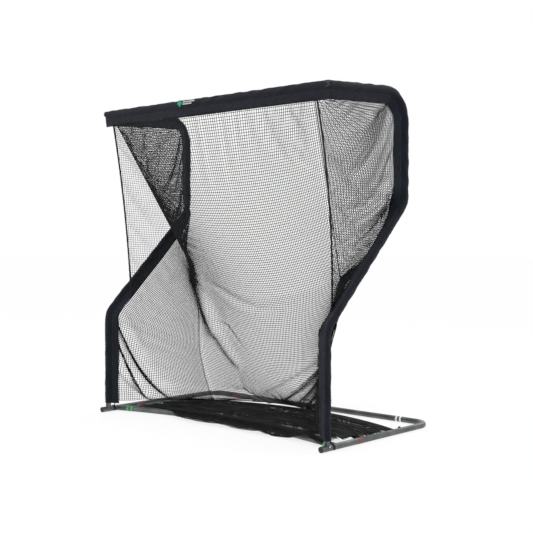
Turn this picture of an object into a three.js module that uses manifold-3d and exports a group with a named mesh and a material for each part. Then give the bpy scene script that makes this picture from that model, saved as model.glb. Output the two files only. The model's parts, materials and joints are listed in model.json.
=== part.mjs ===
// Golf chipping net: a free-standing frame of bent, plug-together aluminium tubes, black fabric pole sleeves
// with sewn-on flaps, and loose black netting that hangs inside it. Millimetres, +Z up, the player is at -Y.
// Origin: the middle of the footprint, on the ground.
import * as THREE from "three";
import { mergeVertices } from "three/addons/utils/BufferGeometryUtils.js";
import Module from "manifold-3d";

const wasm = await Module();
wasm.setup();

// ---------------------------------------------------------------- driving dimensions
const DEPTH = 1024; // front end caps to the buttons behind the rear bar
const TUBE_R = 16.5; // 33 mm tube
const WALL = 1.4;
const SIDE_X = 895; // centre plane of each side frame
const CAP_TO_UPRIGHT = 53;
const UPRIGHT_Y = -DEPTH / 2 + CAP_TO_UPRIGHT;
const BAND_R = 17.4; // the colour bands are what touches the ground
const RAIL_Z = BAND_R;
const BUTTON_TOP = 20.2; // from the tube's axis
const REAR_Y = DEPTH / 2 - BUTTON_TOP;
const REAR_CORNER_R = 100;

// the side frame seen from the side, measured back from the upright
const ELBOW_Z = 632; // where the upright leans back
const NOSE_Y = 690; // how far the nose stands behind the upright
const NOSE_LOW_Z = 1293;
const NOSE_TOP_Z = 1925;
const TOP_BAR_Z = 1884;
const ELBOW_R = 130;
const NOSE_TOP_R = 170;

// plug joints
const SPIGOT_R = 14.5;
const SPIGOT_BORE = 13.2;
const SPIGOT_LENGTH = 60;
const NECK_LENGTH = 20;
const BUTTON_FROM_JOINT = 34;
const BUTTON_HOLE_R = 3.4;
const BUTTON_R = 2.9;
const BUTTON_FOOT = 10.8;
const BUTTON_FLANGE_R = 4.4;
const BUTTON_FLANGE_TOP = 11.7;
const BAND_BORE = 16.8;
const BAND_WIDTH = 13;
const BAND_FROM_JOINT = 14;
const SEAM_GAP = 0.3; // between the ends of two tubes that meet

// places of the plug joints
const RAIL_JOINT_Y = UPRIGHT_Y + 272;
const REAR_JOINT_X = 680;
const FRONT_JOINT_X = 795;
const FRONT_JOINT_Y = UPRIGHT_Y + 100;
const FRONT_BOW = 110; // how far the front bar bows back at its middle
const MID_SLANT = 0.5; // the joint on the leaning tube, as a share of its length

// pole sleeves
const POCKET_R = 18.4;
const SLEEVE_R = 20.8;
const FLAP_REACH = 78; // from the tube's axis to the flap's edge
const FLAP_HALF = 1.4;
const SLEEVE_END_Z = 56;

// netting
const NET_T = 3;
const NET_TOP_Z = TOP_BAR_Z - FLAP_REACH - 2;
const PINCH = new THREE.Vector3(600, UPRIGHT_Y + 480, 875); // where each side of the sheet is drawn in
const SHEET_FOOT_Z = 24;
const ROPE_R = 5;

const TUBE_SIDES = 12;
const BORE_SIDES = 8;

const V = (x, y, z) => new THREE.Vector3(x, y, z);

// ---------------------------------------------------------------- solids
function toSolid(geometry) {
  const g = (geometry.index ? geometry.toNonIndexed() : geometry).clone();
  g.deleteAttribute("normal");
  g.deleteAttribute("uv");
  const m = mergeVertices(g, 1e-3);
  return new wasm.Manifold(
    new wasm.Mesh({
      numProp: 3,
      vertProperties: new Float32Array(m.attributes.position.array),
      triVerts: new Uint32Array(m.index.array),
    }),
  );
}

function toGeometry(solid) {
  const m = solid.getMesh();
  const g = new THREE.BufferGeometry();
  g.setAttribute("position", new THREE.BufferAttribute(new Float32Array(m.vertProperties), 3));
  g.setIndex(new THREE.BufferAttribute(new Uint32Array(m.triVerts), 1));
  g.computeVertexNormals();
  return g;
}

const join = (...geometries) => toGeometry(geometries.map(toSolid).reduce((a, b) => a.add(b)));
const cut = (geometry, ...tools) =>
  toGeometry(tools.map(toSolid).reduce((a, b) => a.subtract(b), toSolid(geometry)));

// Moves a geometry made along +Y so that its origin sits at a point and its +Y runs along a direction.
function alongDirection(geometry, at, direction) {
  const turn = new THREE.Quaternion().setFromUnitVectors(V(0, 1, 0), direction.clone().normalize());
  return geometry.applyQuaternion(turn).translate(at.x, at.y, at.z);
}

// A round rod from one point to another.
function rod(a, b, radius, sides = 12) {
  const long = a.distanceTo(b);
  const g = new THREE.CylinderGeometry(radius, radius, long, sides);
  return alongDirection(g, a.clone().lerp(b, 0.5), b.clone().sub(a));
}

// ---------------------------------------------------------------- bent tubes
// A path through given points, swept point by point, so that only the bends are finely divided.
class PointPath extends THREE.Curve {
  constructor(points) {
    super();
    this.points = points;
  }
  getPoint(t) {
    const n = this.points.length - 1;
    const i = Math.min(n - 1, Math.floor(t * n + 1e-9));
    return this.points[i].clone().lerp(this.points[i + 1], t * n - i);
  }
  getPointAt(u) {
    return this.getPoint(u);
  }
  getSpacedPoints() {
    return this.points.map((p) => p.clone());
  }
  getTangentAt(u) {
    const i = Math.round(u * (this.points.length - 1));
    const before = this.points[Math.max(0, i - 1)];
    const after = this.points[Math.min(this.points.length - 1, i + 1)];
    const here = this.points[i];
    const into = here.clone().sub(before).normalize();
    const outOf = after.clone().sub(here).normalize();
    return into.add(outOf).normalize();
  }
}

// Corner points joined by straights, with an arc of its own radius at each inner corner.
function bentPath(corners, radii, steps = 4) {
  const points = [corners[0].clone()];
  for (let i = 1; i < corners.length - 1; i++) {
    const back = corners[i - 1].clone().sub(corners[i]).normalize();
    const on = corners[i + 1].clone().sub(corners[i]).normalize();
    const half = Math.acos(back.dot(on)) / 2;
    const middle = back.clone().add(on).normalize();
    const centre = corners[i].clone().addScaledVector(middle, radii[i - 1] / Math.sin(half));
    const start = corners[i].clone().addScaledVector(back, radii[i - 1] / Math.tan(half)).sub(centre);
    const axis = back.clone().cross(start).normalize();
    const swing = Math.PI - 2 * half;
    for (let k = 0; k <= steps; k++) {
      points.push(start.clone().applyAxisAngle(axis, (swing * k) / steps).add(centre));
    }
  }
  points.push(corners[corners.length - 1].clone());
  return points;
}

// A regular outline whose flat sides touch the circle of that radius.
function flatSided(radius, sides, Type) {
  const outline = new Type();
  for (let k = 0; k < sides; k++) {
    const a = ((k + 0.5) * 2 * Math.PI) / sides;
    const r = radius / Math.cos(Math.PI / sides);
    if (k) outline.lineTo(r * Math.cos(a), r * Math.sin(a));
    else outline.moveTo(r * Math.cos(a), r * Math.sin(a));
  }
  outline.closePath();
  return outline;
}

function sweep(outline, points) {
  return new THREE.ExtrudeGeometry(outline, {
    steps: points.length - 1,
    bevelEnabled: false,
    extrudePath: new PointPath(points),
  });
}

function hollowTube(points, radius = TUBE_R, wall = WALL) {
  const outline = flatSided(radius, TUBE_SIDES, THREE.Shape);
  outline.holes.push(flatSided(radius - wall, BORE_SIDES, THREE.Path));
  return sweep(outline, points);
}

const solidTube = (points, radius, sides = 8) => sweep(flatSided(radius, sides, THREE.Shape), points);

// The narrowed end that plugs into the next tube: it starts at the joint and runs along a direction.
function spigot(joint, direction) {
  const neck = TUBE_R - WALL / 2;
  const profile = [
    [SPIGOT_BORE, -NECK_LENGTH],
    [neck, -NECK_LENGTH],
    [neck, -SEAM_GAP - 1],
    [SPIGOT_R, -SEAM_GAP - 1],
    [SPIGOT_R, SPIGOT_LENGTH],
    [SPIGOT_BORE, SPIGOT_LENGTH],
    [SPIGOT_BORE, -NECK_LENGTH],
  ].map(([r, y]) => new THREE.Vector2(r, y));
  return alongDirection(new THREE.LatheGeometry(profile, TUBE_SIDES), joint, direction);
}

// A joint is where it is, which way its spigot points, and which way its button faces.
const joints = {};
function addJoint(name, at, spigotWay, buttonWay, colour) {
  const hole = at.clone().addScaledVector(spigotWay, BUTTON_FROM_JOINT);
  joints[name] = { at, spigotWay, buttonWay, hole, colour };
}

const buttonDrill = (joint) =>
  rod(joint.hole, joint.hole.clone().addScaledVector(joint.buttonWay, BUTTON_TOP + 5), BUTTON_HOLE_R);

// ---------------------------------------------------------------- the scene graph
const net = new THREE.Group();
function add(name, geometry, material) {
  const mesh = new THREE.Mesh(geometry, material.clone());
  mesh.name = name;
  net.add(mesh);
}
const finish = (color, roughness, metalness = 0) =>
  new THREE.MeshStandardMaterial({ color, roughness, metalness });
const tubeGrey = finish(0x8b9094, 0.35, 0.9);
const sleeveCloth = finish(0x14161d, 0.95);
const netting = finish(0x17191f, 0.9);
const binding = finish(0x101116, 0.85);
const capPlastic = finish(0x1b1c1e, 0.55);
const buttonSteel = finish(0xc9ccd0, 0.25, 1);
const bandRed = finish(0xa8332c, 0.5);
const bandWhite = finish(0xe9e9e6, 0.5);
const bandGreen = finish(0x27934f, 0.5);
const patchGreen = finish(0x2f8f74, 0.7);

const SIDES = [
  ["left", -1],
  ["right", 1],
];

// ---------------------------------------------------------------- where the joints are
const frontSlope = (2 * FRONT_BOW) / FRONT_JOINT_X;
for (const [side, s] of SIDES) {
  addJoint(`rail_${side}`, V(s * SIDE_X, RAIL_JOINT_Y, RAIL_Z), V(0, -1, 0), V(-s, 0, 0), bandRed);
  addJoint(
    `rear_${side}`,
    V(s * REAR_JOINT_X, REAR_Y, RAIL_Z),
    V(-s, 0, 0),
    V(0, 1, 0),
    s < 0 ? bandRed : bandWhite,
  );
  addJoint(
    `front_${side}`,
    V(s * FRONT_JOINT_X, FRONT_JOINT_Y, RAIL_Z),
    V(s, -frontSlope, 0).normalize(),
    V(s * frontSlope, 1, 0).normalize(),
    bandGreen,
  );
}

// ---------------------------------------------------------------- base
const CAP_FLANGE = 2;
const CAP_PLUG = 16;
const BOLT_Z = RAIL_Z + 9;

function railFront(s, side) {
  const start = -DEPTH / 2 + CAP_FLANGE + SEAM_GAP;
  const end = RAIL_JOINT_Y - SEAM_GAP / 2;
  const rail = hollowTube([V(s * SIDE_X, start, RAIL_Z), V(s * SIDE_X, end, RAIL_Z)]);
  const postFoot = V(s * SIDE_X, UPRIGHT_Y, RAIL_Z + TUBE_R - WALL);
  const postTop = V(s * SIDE_X, UPRIGHT_Y, RAIL_Z + TUBE_R + SPIGOT_LENGTH);
  const post = hollowTube([postFoot, postTop], SPIGOT_R, WALL);
  const front = joints[`front_${side}`];
  const inboard = front.at.clone().addScaledVector(front.spigotWay, SEAM_GAP / 2);
  const reach = (SIDE_X - TUBE_R + WALL / 2 - FRONT_JOINT_X) / Math.abs(front.spigotWay.x);
  const stub = hollowTube([inboard, front.at.clone().addScaledVector(front.spigotWay, reach)]);
  const boltHole = rod(V(s * SIDE_X, UPRIGHT_Y, BOLT_Z), V(s * (SIDE_X + 30), UPRIGHT_Y, BOLT_Z), 3.3);
  return cut(join(rail, post, stub), boltHole, buttonDrill(joints[`rail_${side}`]), buttonDrill(front));
}

function rearCorner(s, side) {
  const rail = joints[`rail_${side}`];
  const rear = joints[`rear_${side}`];
  const tube = hollowTube(
    bentPath(
      [
        rail.at.clone().addScaledVector(rail.spigotWay, -SEAM_GAP / 2),
        V(s * SIDE_X, REAR_Y, RAIL_Z),
        rear.at.clone().addScaledVector(rear.spigotWay, -SEAM_GAP / 2),
      ],
      [REAR_CORNER_R],
      6,
    ),
  );
  const whole = join(tube, spigot(rail.at, rail.spigotWay), spigot(rear.at, rear.spigotWay));
  return cut(whole, buttonDrill(rail), buttonDrill(rear));
}

function rearBar() {
  const half = REAR_JOINT_X - SEAM_GAP / 2;
  const bar = hollowTube([V(-half, REAR_Y, RAIL_Z), V(half, REAR_Y, RAIL_Z)]);
  return cut(bar, buttonDrill(joints.rear_left), buttonDrill(joints.rear_right));
}

const frontBarY = (x) => FRONT_JOINT_Y + FRONT_BOW * (1 - (x / FRONT_JOINT_X) ** 2);
function frontBar() {
  const half = FRONT_JOINT_X - 25;
  const steps = 6;
  const points = [];
  for (let k = 0; k <= steps; k++) {
    const x = -half + (2 * half * k) / steps;
    points.push(V(x, frontBarY(x), RAIL_Z));
  }
  const { front_left: left, front_right: right } = joints;
  const straightEnd = ({ at, spigotWay }) =>
    [12, SEAM_GAP / 2].map((inboard) => at.clone().addScaledVector(spigotWay, -inboard));
  points.unshift(...straightEnd(left).reverse());
  points.push(...straightEnd(right));
  const ends = [left, right].map(({ at, spigotWay }) => spigot(at, spigotWay));
  return cut(join(hollowTube(points), ...ends), buttonDrill(left), buttonDrill(right));
}

// A moulded cap: a flange over the tube's end, a plug inside it, and a shallow round recess in its face.
function endCap() {
  const plug = TUBE_R - WALL - 0.4;
  const profile = [
    [0, 3],
    [10.5, 3],
    [11, 0.8],
    [12, 0],
    [15.8, 0],
    [TUBE_R, 0.8],
    [TUBE_R, CAP_FLANGE],
    [plug, CAP_FLANGE],
    [plug, CAP_PLUG],
    [0, CAP_PLUG],
  ].map(([r, y]) => new THREE.Vector2(r, y));
  return new THREE.LatheGeometry(profile, TUBE_SIDES);
}

function railBolt(s) {
  const profile = [
    [0, 10],
    [2.9, 10],
    [2.9, 17.4],
    [5.2, 17.4],
    [5.0, 19.2],
    [3.4, 20.6],
    [0, 21],
  ].map(([r, y]) => new THREE.Vector2(r, y));
  return alongDirection(
    new THREE.LatheGeometry(profile, 10),
    V(s * SIDE_X, UPRIGHT_Y, BOLT_Z),
    V(s, 0, 0),
  );
}

function snapButton(joint) {
  const profile = [
    [0, BUTTON_FOOT],
    [BUTTON_FLANGE_R, BUTTON_FOOT],
    [BUTTON_FLANGE_R, BUTTON_FLANGE_TOP],
    [BUTTON_R, BUTTON_FLANGE_TOP],
    [BUTTON_R, BUTTON_TOP - 1.6],
    [BUTTON_R - 0.9, BUTTON_TOP - 0.4],
    [0, BUTTON_TOP],
  ].map(([r, y]) => new THREE.Vector2(r, y));
  return alongDirection(new THREE.LatheGeometry(profile, 10), joint.hole, joint.buttonWay);
}

// A thin ring round the tube, its flats in line with the tube's.
function colourBand(joint, which) {
  const outline = flatSided(BAND_R, TUBE_SIDES, THREE.Shape);
  outline.holes.push(flatSided(BAND_BORE, TUBE_SIDES, THREE.Path));
  const edge = (share) =>
    joint.at.clone().addScaledVector(joint.spigotWay, which * BAND_FROM_JOINT + share * BAND_WIDTH);
  return sweep(outline, [edge(-0.5), edge(0.5)]);
}

for (const [side, s] of SIDES) {
  add(`rail_front_${side}`, railFront(s, side), tubeGrey);
  add(`rear_corner_tube_${side}`, rearCorner(s, side), tubeGrey);
  const cap = endCap().translate(s * SIDE_X, -DEPTH / 2, RAIL_Z);
  add(`end_cap_${side}`, cap, capPlastic);
  add(`upright_bolt_${side}`, railBolt(s), buttonSteel);
}
add("rear_bar", rearBar(), tubeGrey);
add("front_bar", frontBar(), tubeGrey);
for (const [name, joint] of Object.entries(joints)) {
  add(`snap_button_${name}`, snapButton(joint), buttonSteel);
  add(`colour_band_${name}_a`, colourBand(joint, 1), joint.colour);
  add(`colour_band_${name}_b`, colourBand(joint, -1), joint.colour);
}

// ---------------------------------------------------------------- side frames and top
const sidePoint = (s, back, z) => V(s * SIDE_X, UPRIGHT_Y + back, z);
const CONNECTOR_ARM = 46;
const topRise = (NOSE_TOP_Z - TOP_BAR_Z) / NOSE_Y;
const topRunZ = (back) => TOP_BAR_Z + topRise * back;
const slantAt = (s, share) => sidePoint(s, NOSE_Y * share, ELBOW_Z + (NOSE_LOW_Z - ELBOW_Z) * share);

function lowerUpright(s) {
  const joint = slantAt(s, MID_SLANT);
  const way = joint.clone().sub(slantAt(s, 0)).normalize();
  const tube = hollowTube(
    bentPath(
      [
        sidePoint(s, 0, RAIL_Z + TUBE_R + 1),
        sidePoint(s, 0, ELBOW_Z),
        joint.clone().addScaledVector(way, -SEAM_GAP / 2),
      ],
      [ELBOW_R],
    ),
  );
  return join(tube, spigot(joint, way));
}

function upperSideTube(s) {
  const joint = slantAt(s, MID_SLANT);
  const way = joint.clone().sub(slantAt(s, 0)).normalize();
  return hollowTube(
    bentPath(
      [
        joint.clone().addScaledVector(way, SEAM_GAP / 2),
        sidePoint(s, NOSE_Y, NOSE_LOW_Z),
        sidePoint(s, NOSE_Y, NOSE_TOP_Z),
        sidePoint(s, CONNECTOR_ARM + SEAM_GAP, topRunZ(CONNECTOR_ARM)),
      ],
      [ELBOW_R, NOSE_TOP_R],
    ),
  );
}

// The moulded two-way corner between the top bar and a side frame: two arms, each with a spigot.
function topConnector(s) {
  const corner = sidePoint(s, 0, TOP_BAR_Z);
  const back = V(0, 1, topRise).normalize();
  const inward = V(-s, 0, 0);
  const bodyR = 17.2;
  const arm = (way, long, radius) => {
    return rod(corner, corner.clone().addScaledVector(way, long), radius, TUBE_SIDES);
  };
  const outer = rod(corner, corner.clone().addScaledVector(inward, -bodyR + 1), bodyR, TUBE_SIDES);
  return join(
    outer,
    arm(back, CONNECTOR_ARM, bodyR),
    arm(inward, CONNECTOR_ARM, bodyR),
    arm(back, CONNECTOR_ARM + SPIGOT_LENGTH, SPIGOT_R),
    arm(inward, CONNECTOR_ARM + SPIGOT_LENGTH, SPIGOT_R),
  );
}

function topBar(from, to) {
  return hollowTube([V(from, UPRIGHT_Y, TOP_BAR_Z), V(to, UPRIGHT_Y, TOP_BAR_Z)]);
}
const topEnd = SIDE_X - CONNECTOR_ARM - SEAM_GAP;

for (const [side, s] of SIDES) {
  add(`upright_lower_${side}`, lowerUpright(s), tubeGrey);
  add(`side_tube_upper_${side}`, upperSideTube(s), tubeGrey);
  add(`top_corner_connector_${side}`, topConnector(s), capPlastic);
}
add("top_bar_left", topBar(-topEnd, -SEAM_GAP / 2), tubeGrey);
add(
  "top_bar_right",
  join(topBar(SEAM_GAP / 2, topEnd), spigot(V(0, UPRIGHT_Y, TOP_BAR_Z), V(-1, 0, 0))),
  tubeGrey,
);

// ---------------------------------------------------------------- pole sleeves
// The sleeve's cross section in its own plane: a pocket round the tube, and a flap along +x.
const SECTION = [
  [-6, SLEEVE_R],
  [-2, FLAP_REACH],
  [2, FLAP_REACH],
  [6, SLEEVE_R],
  ...[45, 83, 121, 159, 201, 239, 277, 315].map((a) => [a, SLEEVE_R]),
];

// Adds points to the long stretches of a path, so that a flap that turns along one keeps its shape.
const LONGEST_STRETCH = 110;
function refined(corners) {
  return corners.flatMap((p, i) => {
    if (i === corners.length - 1) return [p];
    const next = corners[i + 1];
    const parts = Math.ceil(p.distanceTo(next) / LONGEST_STRETCH);
    return Array.from({ length: parts }, (_, k) => p.clone().lerp(next, k / parts));
  });
}

// Sweeps the section along a path; a flap's direction is made square to the path at each point.
function sleeve(points, flapWays) {
  const n = SECTION.length;
  const path = new PointPath(points);
  const vertices = [];
  points.forEach((p, i) => {
    const along = path.getTangentAt(i / (points.length - 1));
    const x = flapWays[i].clone().addScaledVector(along, -flapWays[i].dot(along)).normalize();
    const y = along.clone().cross(x);
    const put = (a, r) => {
      const rad = (a * Math.PI) / 180;
      const wide = r === FLAP_REACH ? Math.sign(a) * FLAP_HALF : r * Math.sin(rad);
      const far = r === FLAP_REACH ? r : r * Math.cos(rad);
      vertices.push(p.clone().addScaledVector(x, far).addScaledVector(y, wide));
    };
    SECTION.forEach(([a, r]) => put(a, r));
    SECTION.forEach(([a]) => put(a, POCKET_R / Math.cos((19 * Math.PI) / 180)));
  });
  const faces = [];
  const quad = (a, b, c, d) => faces.push(a, b, c, a, c, d);
  const last = points.length - 1;
  for (let k = 0; k < n; k++) {
    const m = (k + 1) % n;
    for (let i = 0; i < last; i++) {
      const a = i * 2 * n;
      const b = a + 2 * n;
      quad(a + k, a + m, b + m, b + k);
      quad(a + n + k, b + n + k, b + n + m, a + n + m);
    }
    quad(n + k, n + m, m, k);
    const z = last * 2 * n;
    quad(z + k, z + m, z + n + m, z + n + k);
  }
  return indexed(vertices, faces);
}

function indexed(vertices, faces) {
  const g = new THREE.BufferGeometry();
  g.setAttribute("position", new THREE.Float32BufferAttribute(vertices.flatMap((v) => v.toArray()), 3));
  g.setIndex(faces);
  g.computeVertexNormals();
  return g;
}

// The flap hangs down from the top run, and points forward on the nose and inward on the rest.
function flapWay(s, p) {
  const back = p.y - UPRIGHT_Y;
  const onTop = V(-0.25 * s, 0, -0.97);
  const onNose = V(-0.35 * s, -0.94, 0);
  const onSlant = V(-0.95 * s, 0.22, -0.22);
  const onUpright = V(-0.94 * s, 0.34, 0);
  if (p.z > NOSE_TOP_Z - NOSE_TOP_R - 60) {
    const share = THREE.MathUtils.smoothstep(back, NOSE_Y - NOSE_TOP_R, NOSE_Y - 20);
    return onTop.lerp(onNose, share);
  }
  if (p.z > ELBOW_Z + 120) {
    const share = THREE.MathUtils.smoothstep(p.z, NOSE_LOW_Z - 160, NOSE_LOW_Z + 120);
    return onSlant.lerp(onNose, share);
  }
  return onUpright.lerp(onSlant, THREE.MathUtils.smoothstep(p.z, ELBOW_Z - 80, ELBOW_Z + 120));
}

function sideSleevePath(s) {
  const start = sidePoint(s, SLEEVE_R + 1, topRunZ(SLEEVE_R + 1));
  return bentPath(
    [
      start,
      sidePoint(s, NOSE_Y, NOSE_TOP_Z),
      sidePoint(s, NOSE_Y, NOSE_LOW_Z),
      slantAt(s, 0),
      sidePoint(s, 0, SLEEVE_END_Z),
    ],
    [NOSE_TOP_R, ELBOW_R, ELBOW_R],
  );
}

function topSleeve() {
  const half = SIDE_X + SLEEVE_R;
  const points = [-half, -half / 2, 0, half / 2, half].map((x) => V(x, UPRIGHT_Y, TOP_BAR_Z));
  const ways = points.map(() => V(0, 0.1, -1));
  const legs = SIDES.map(([, s]) =>
    rod(sidePoint(s, 0, TOP_BAR_Z), sidePoint(s, 60, topRunZ(60)), POCKET_R, TUBE_SIDES),
  );
  return cut(sleeve(points, ways), ...legs);
}

function leftSleeve() {
  const path = refined(sideSleevePath(-1));
  return sleeve(path, path.map((p) => flapWay(-1, p)));
}

function mirrorImage(geometry) {
  const g = geometry.clone().scale(-1, 1, 1);
  g.setIndex([...g.index.array].reverse());
  g.computeVertexNormals();
  return g;
}

add("top_sleeve", topSleeve(), sleeveCloth);
add("side_sleeve_left", leftSleeve(), sleeveCloth);
add("side_sleeve_right", mirrorImage(leftSleeve()), sleeveCloth);

// ---------------------------------------------------------------- netting
// A thin closed sheet over a grid of points at(u, v), with its thickness shared between both faces.
function sheet(at, across, down, thickness = NET_T) {
  const grid = [];
  for (let j = 0; j <= down; j++) {
    for (let i = 0; i <= across; i++) grid.push(at(i / across, j / down));
  }
  const w = across + 1;
  const normals = grid.map((p, k) => {
    const i = k % w;
    const j = Math.floor(k / w);
    const du = grid[k + (i < across ? 1 : 0)].clone().sub(grid[k - (i > 0 ? 1 : 0)]);
    const dv = grid[k + (j < down ? w : 0)].clone().sub(grid[k - (j > 0 ? w : 0)]);
    return du.cross(dv).normalize();
  });
  const vertices = [
    ...grid.map((p, k) => p.clone().addScaledVector(normals[k], thickness / 2)),
    ...grid.map((p, k) => p.clone().addScaledVector(normals[k], -thickness / 2)),
  ];
  const n = grid.length;
  const faces = [];
  const quad = (a, b, c, d) => faces.push(a, b, c, a, c, d);
  for (let j = 0; j < down; j++) {
    for (let i = 0; i < across; i++) {
      const a = j * w + i;
      quad(a, a + 1, a + w + 1, a + w);
      quad(n + a, n + a + w, n + a + w + 1, n + a + 1);
    }
  }
  for (let i = 0; i < across; i++) {
    const z = down * w + i;
    quad(i + 1, i, n + i, n + i + 1);
    quad(z, z + 1, n + z + 1, n + z);
  }
  for (let j = 0; j < down; j++) {
    const a = j * w;
    const b = a + across;
    quad(a, a + w, n + a + w, n + a);
    quad(b + w, b, n + b, n + b + w);
  }
  return indexed(vertices, faces);
}

// The sheet that stops the ball: from the top bar it slopes back, is drawn in at each side, and drops again.
const SHEET_HALF_TOP = 806;
const FOOT_LEFT_X = -640;
const FOOT_RIGHT_X = 300; // pulled in under its own weight, further than on the left
const FOOT_BACK = 905;
const FOOT_CURVE_LEFT = 150; // how much nearer the sheet's two lower corners lie than its middle
const FOOT_CURVE_RIGHT = 305;
function sheetFoot(side) {
  const curve = (side < 0 ? FOOT_CURVE_LEFT : FOOT_CURVE_RIGHT) * side * side;
  const x = THREE.MathUtils.lerp(FOOT_LEFT_X, FOOT_RIGHT_X, (side + 1) / 2);
  return V(x, UPRIGHT_Y + FOOT_BACK - curve, SHEET_FOOT_Z);
}
function mainSheetPoint(u, v) {
  const side = 2 * u - 1;
  const top = V(side * SHEET_HALF_TOP, UPRIGHT_Y + 4, NET_TOP_Z);
  const belly = 60 * (1 - side * side);
  const pinch = V(side * PINCH.x, PINCH.y + belly, PINCH.z - belly);
  const sag = V(0, -30, -30);
  if (v < 0.5) {
    const t = v * 2;
    return top.lerp(pinch, t).addScaledVector(sag, 4 * t * (1 - t) * (1 - side * side));
  }
  const t = v * 2 - 1;
  return pinch.lerp(sheetFoot(side), t).addScaledVector(sag, 4 * t * (1 - t));
}

// Edge of the flaps that the netting is sewn to, by place along the sleeve's path: 0 is the front of the
// top run, 1 to 5 the nose's top bend, 6 to 10 its lower bend, 11 to 15 the elbow, and 16 the upright's foot.
const FLAP_EDGE_GAP = 7;
const flapEdges = new Map(
  SIDES.map(([, s]) => {
    const points = sideSleevePath(s);
    const path = new PointPath(points);
    const edge = points.map((p, i) => {
      const along = path.getTangentAt(i / (points.length - 1));
      const way = flapWay(s, p);
      way.addScaledVector(along, -way.dot(along)).normalize();
      return p.clone().addScaledVector(way, FLAP_REACH + FLAP_EDGE_GAP);
    });
    return [s, edge];
  }),
);
function flapEdge(s, place) {
  const edge = flapEdges.get(s);
  const i = Math.min(edge.length - 2, Math.floor(place));
  return edge[i].clone().lerp(edge[i + 1], place - i);
}
const SIDE_STOPS = [0.15, 1, 2, 3, 4, 5, 6, 8, 10, 10.4, 10.8];
const RETURN_STOPS = [0.3, 1, 2, 3, 4, 5, 6, 8, 10.1];
const LOWER_STOPS = [10.25, 10.6, 11, 13, 15, 15.5, 15.96];
function stopAt(stops, v) {
  const x = v * (stops.length - 1);
  const i = Math.min(stops.length - 2, Math.floor(x));
  return stops[i] + (stops[i + 1] - stops[i]) * (x - i);
}

// The loose panel beside the ball's way in: from a bound front edge back to the top run, nose and slant.
const ropeTop = (s) => V(s * 828, UPRIGHT_Y - 2, NET_TOP_Z - 12);
const ropeFoot = (s) => V(s * 822, UPRIGHT_Y + 128, 752);
function ropePoint(s, t) {
  const bow = 4 * t * (1 - t);
  return ropeTop(s).lerp(ropeFoot(s), t).add(V(s * 10 * bow, 26 * bow, 0));
}
function sideNetPoint(s) {
  return (u, v) => {
    const outer = flapEdge(s, stopAt(SIDE_STOPS, v));
    const inner = ropePoint(s, v).add(V(0, ROPE_R + 4, 0));
    const p = inner.lerp(outer, u);
    p.x = s * (Math.abs(p.x) + 5 * u);
    return p;
  };
}

// The return panel: from the edge of the main sheet out to the flaps of the nose.
function returnNetPoint(s) {
  return (u, v) => {
    const inner = mainSheetPoint(s < 0 ? 0 : 1, 0.03 + v * 0.46);
    const outer = flapEdge(s, stopAt(RETURN_STOPS, v));
    inner.x += s * 6;
    outer.x -= s * 14;
    return inner.lerp(outer, u);
  };
}

// The lower side of the bag: from the leaning tube and upright back to the edge of the main sheet.
function lowerSideNetPoint(s) {
  return (u, v) => {
    const inner = mainSheetPoint(s < 0 ? 0 : 1, 0.52 + v * 0.47);
    const outer = flapEdge(s, stopAt(LOWER_STOPS, v));
    inner.x += s * 6;
    return inner.lerp(outer, u);
  };
}

// Spare netting on the ground: from the foot of the sheet forward, and in the middle up over the front bar.
const FLOOR_LIFT = 4;
const FLOOR_HALF = 832;
const OVER_BAR_Z = RAIL_Z + TUBE_R + 6;
const DRAPE_FOOT = 60; // the netting leaves the ground this far from the bar's axis
const DRAPE_TOP = 26;
const OPEN_ROWS = 5; // rows of the grid behind the bar
const FRONT_REACH = 100; // the netting's front edge, before the bar's axis in the middle
const FRONT_SWING_LEFT = 160; // and how much further back it lies at the sides
const FRONT_SWING_RIGHT = 55;
const SWING_FROM = 200;
const SWING_TO = 700;
const DRAPE_ROWS = [DRAPE_FOOT, DRAPE_TOP, 0, -DRAPE_TOP, -DRAPE_FOOT, -FRONT_REACH];
const LEAST_ROW = 3; // rows of the drape stay this far apart where the edge lies behind them
const EDGE_BACK = 15;
const LAST_ROW_BACK = 20;
const floorFarY = (x) => UPRIGHT_Y + 880 - 190 * (x / FLOOR_HALF) ** 2;

function drapeZ(fromBar) {
  const share = (DRAPE_FOOT - Math.abs(fromBar)) / (DRAPE_FOOT - DRAPE_TOP);
  return FLOOR_LIFT + (OVER_BAR_Z - FLOOR_LIFT) * THREE.MathUtils.clamp(share, 0, 1);
}

function floorNetPoint(u, v) {
  const x = (2 * u - 1) * FLOOR_HALF;
  const bar = frontBarY(x);
  const swing = THREE.MathUtils.smoothstep(Math.abs(x), SWING_FROM, SWING_TO);
  const edge = (x < 0 ? FRONT_SWING_LEFT : FRONT_SWING_RIGHT) * swing - FRONT_REACH;
  const row = Math.round(v * (OPEN_ROWS + DRAPE_ROWS.length - 1));
  const drape = row - OPEN_ROWS;
  if (drape >= 0) {
    const fromBar = Math.max(DRAPE_ROWS[drape], edge - LEAST_ROW * drape + EDGE_BACK);
    return V(x, bar + fromBar, drapeZ(fromBar));
  }
  const far = floorFarY(x);
  const near = bar + DRAPE_FOOT + LAST_ROW_BACK;
  return V(x, far + ((near - far) * row) / (OPEN_ROWS - 0.5), FLOOR_LIFT);
}

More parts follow.
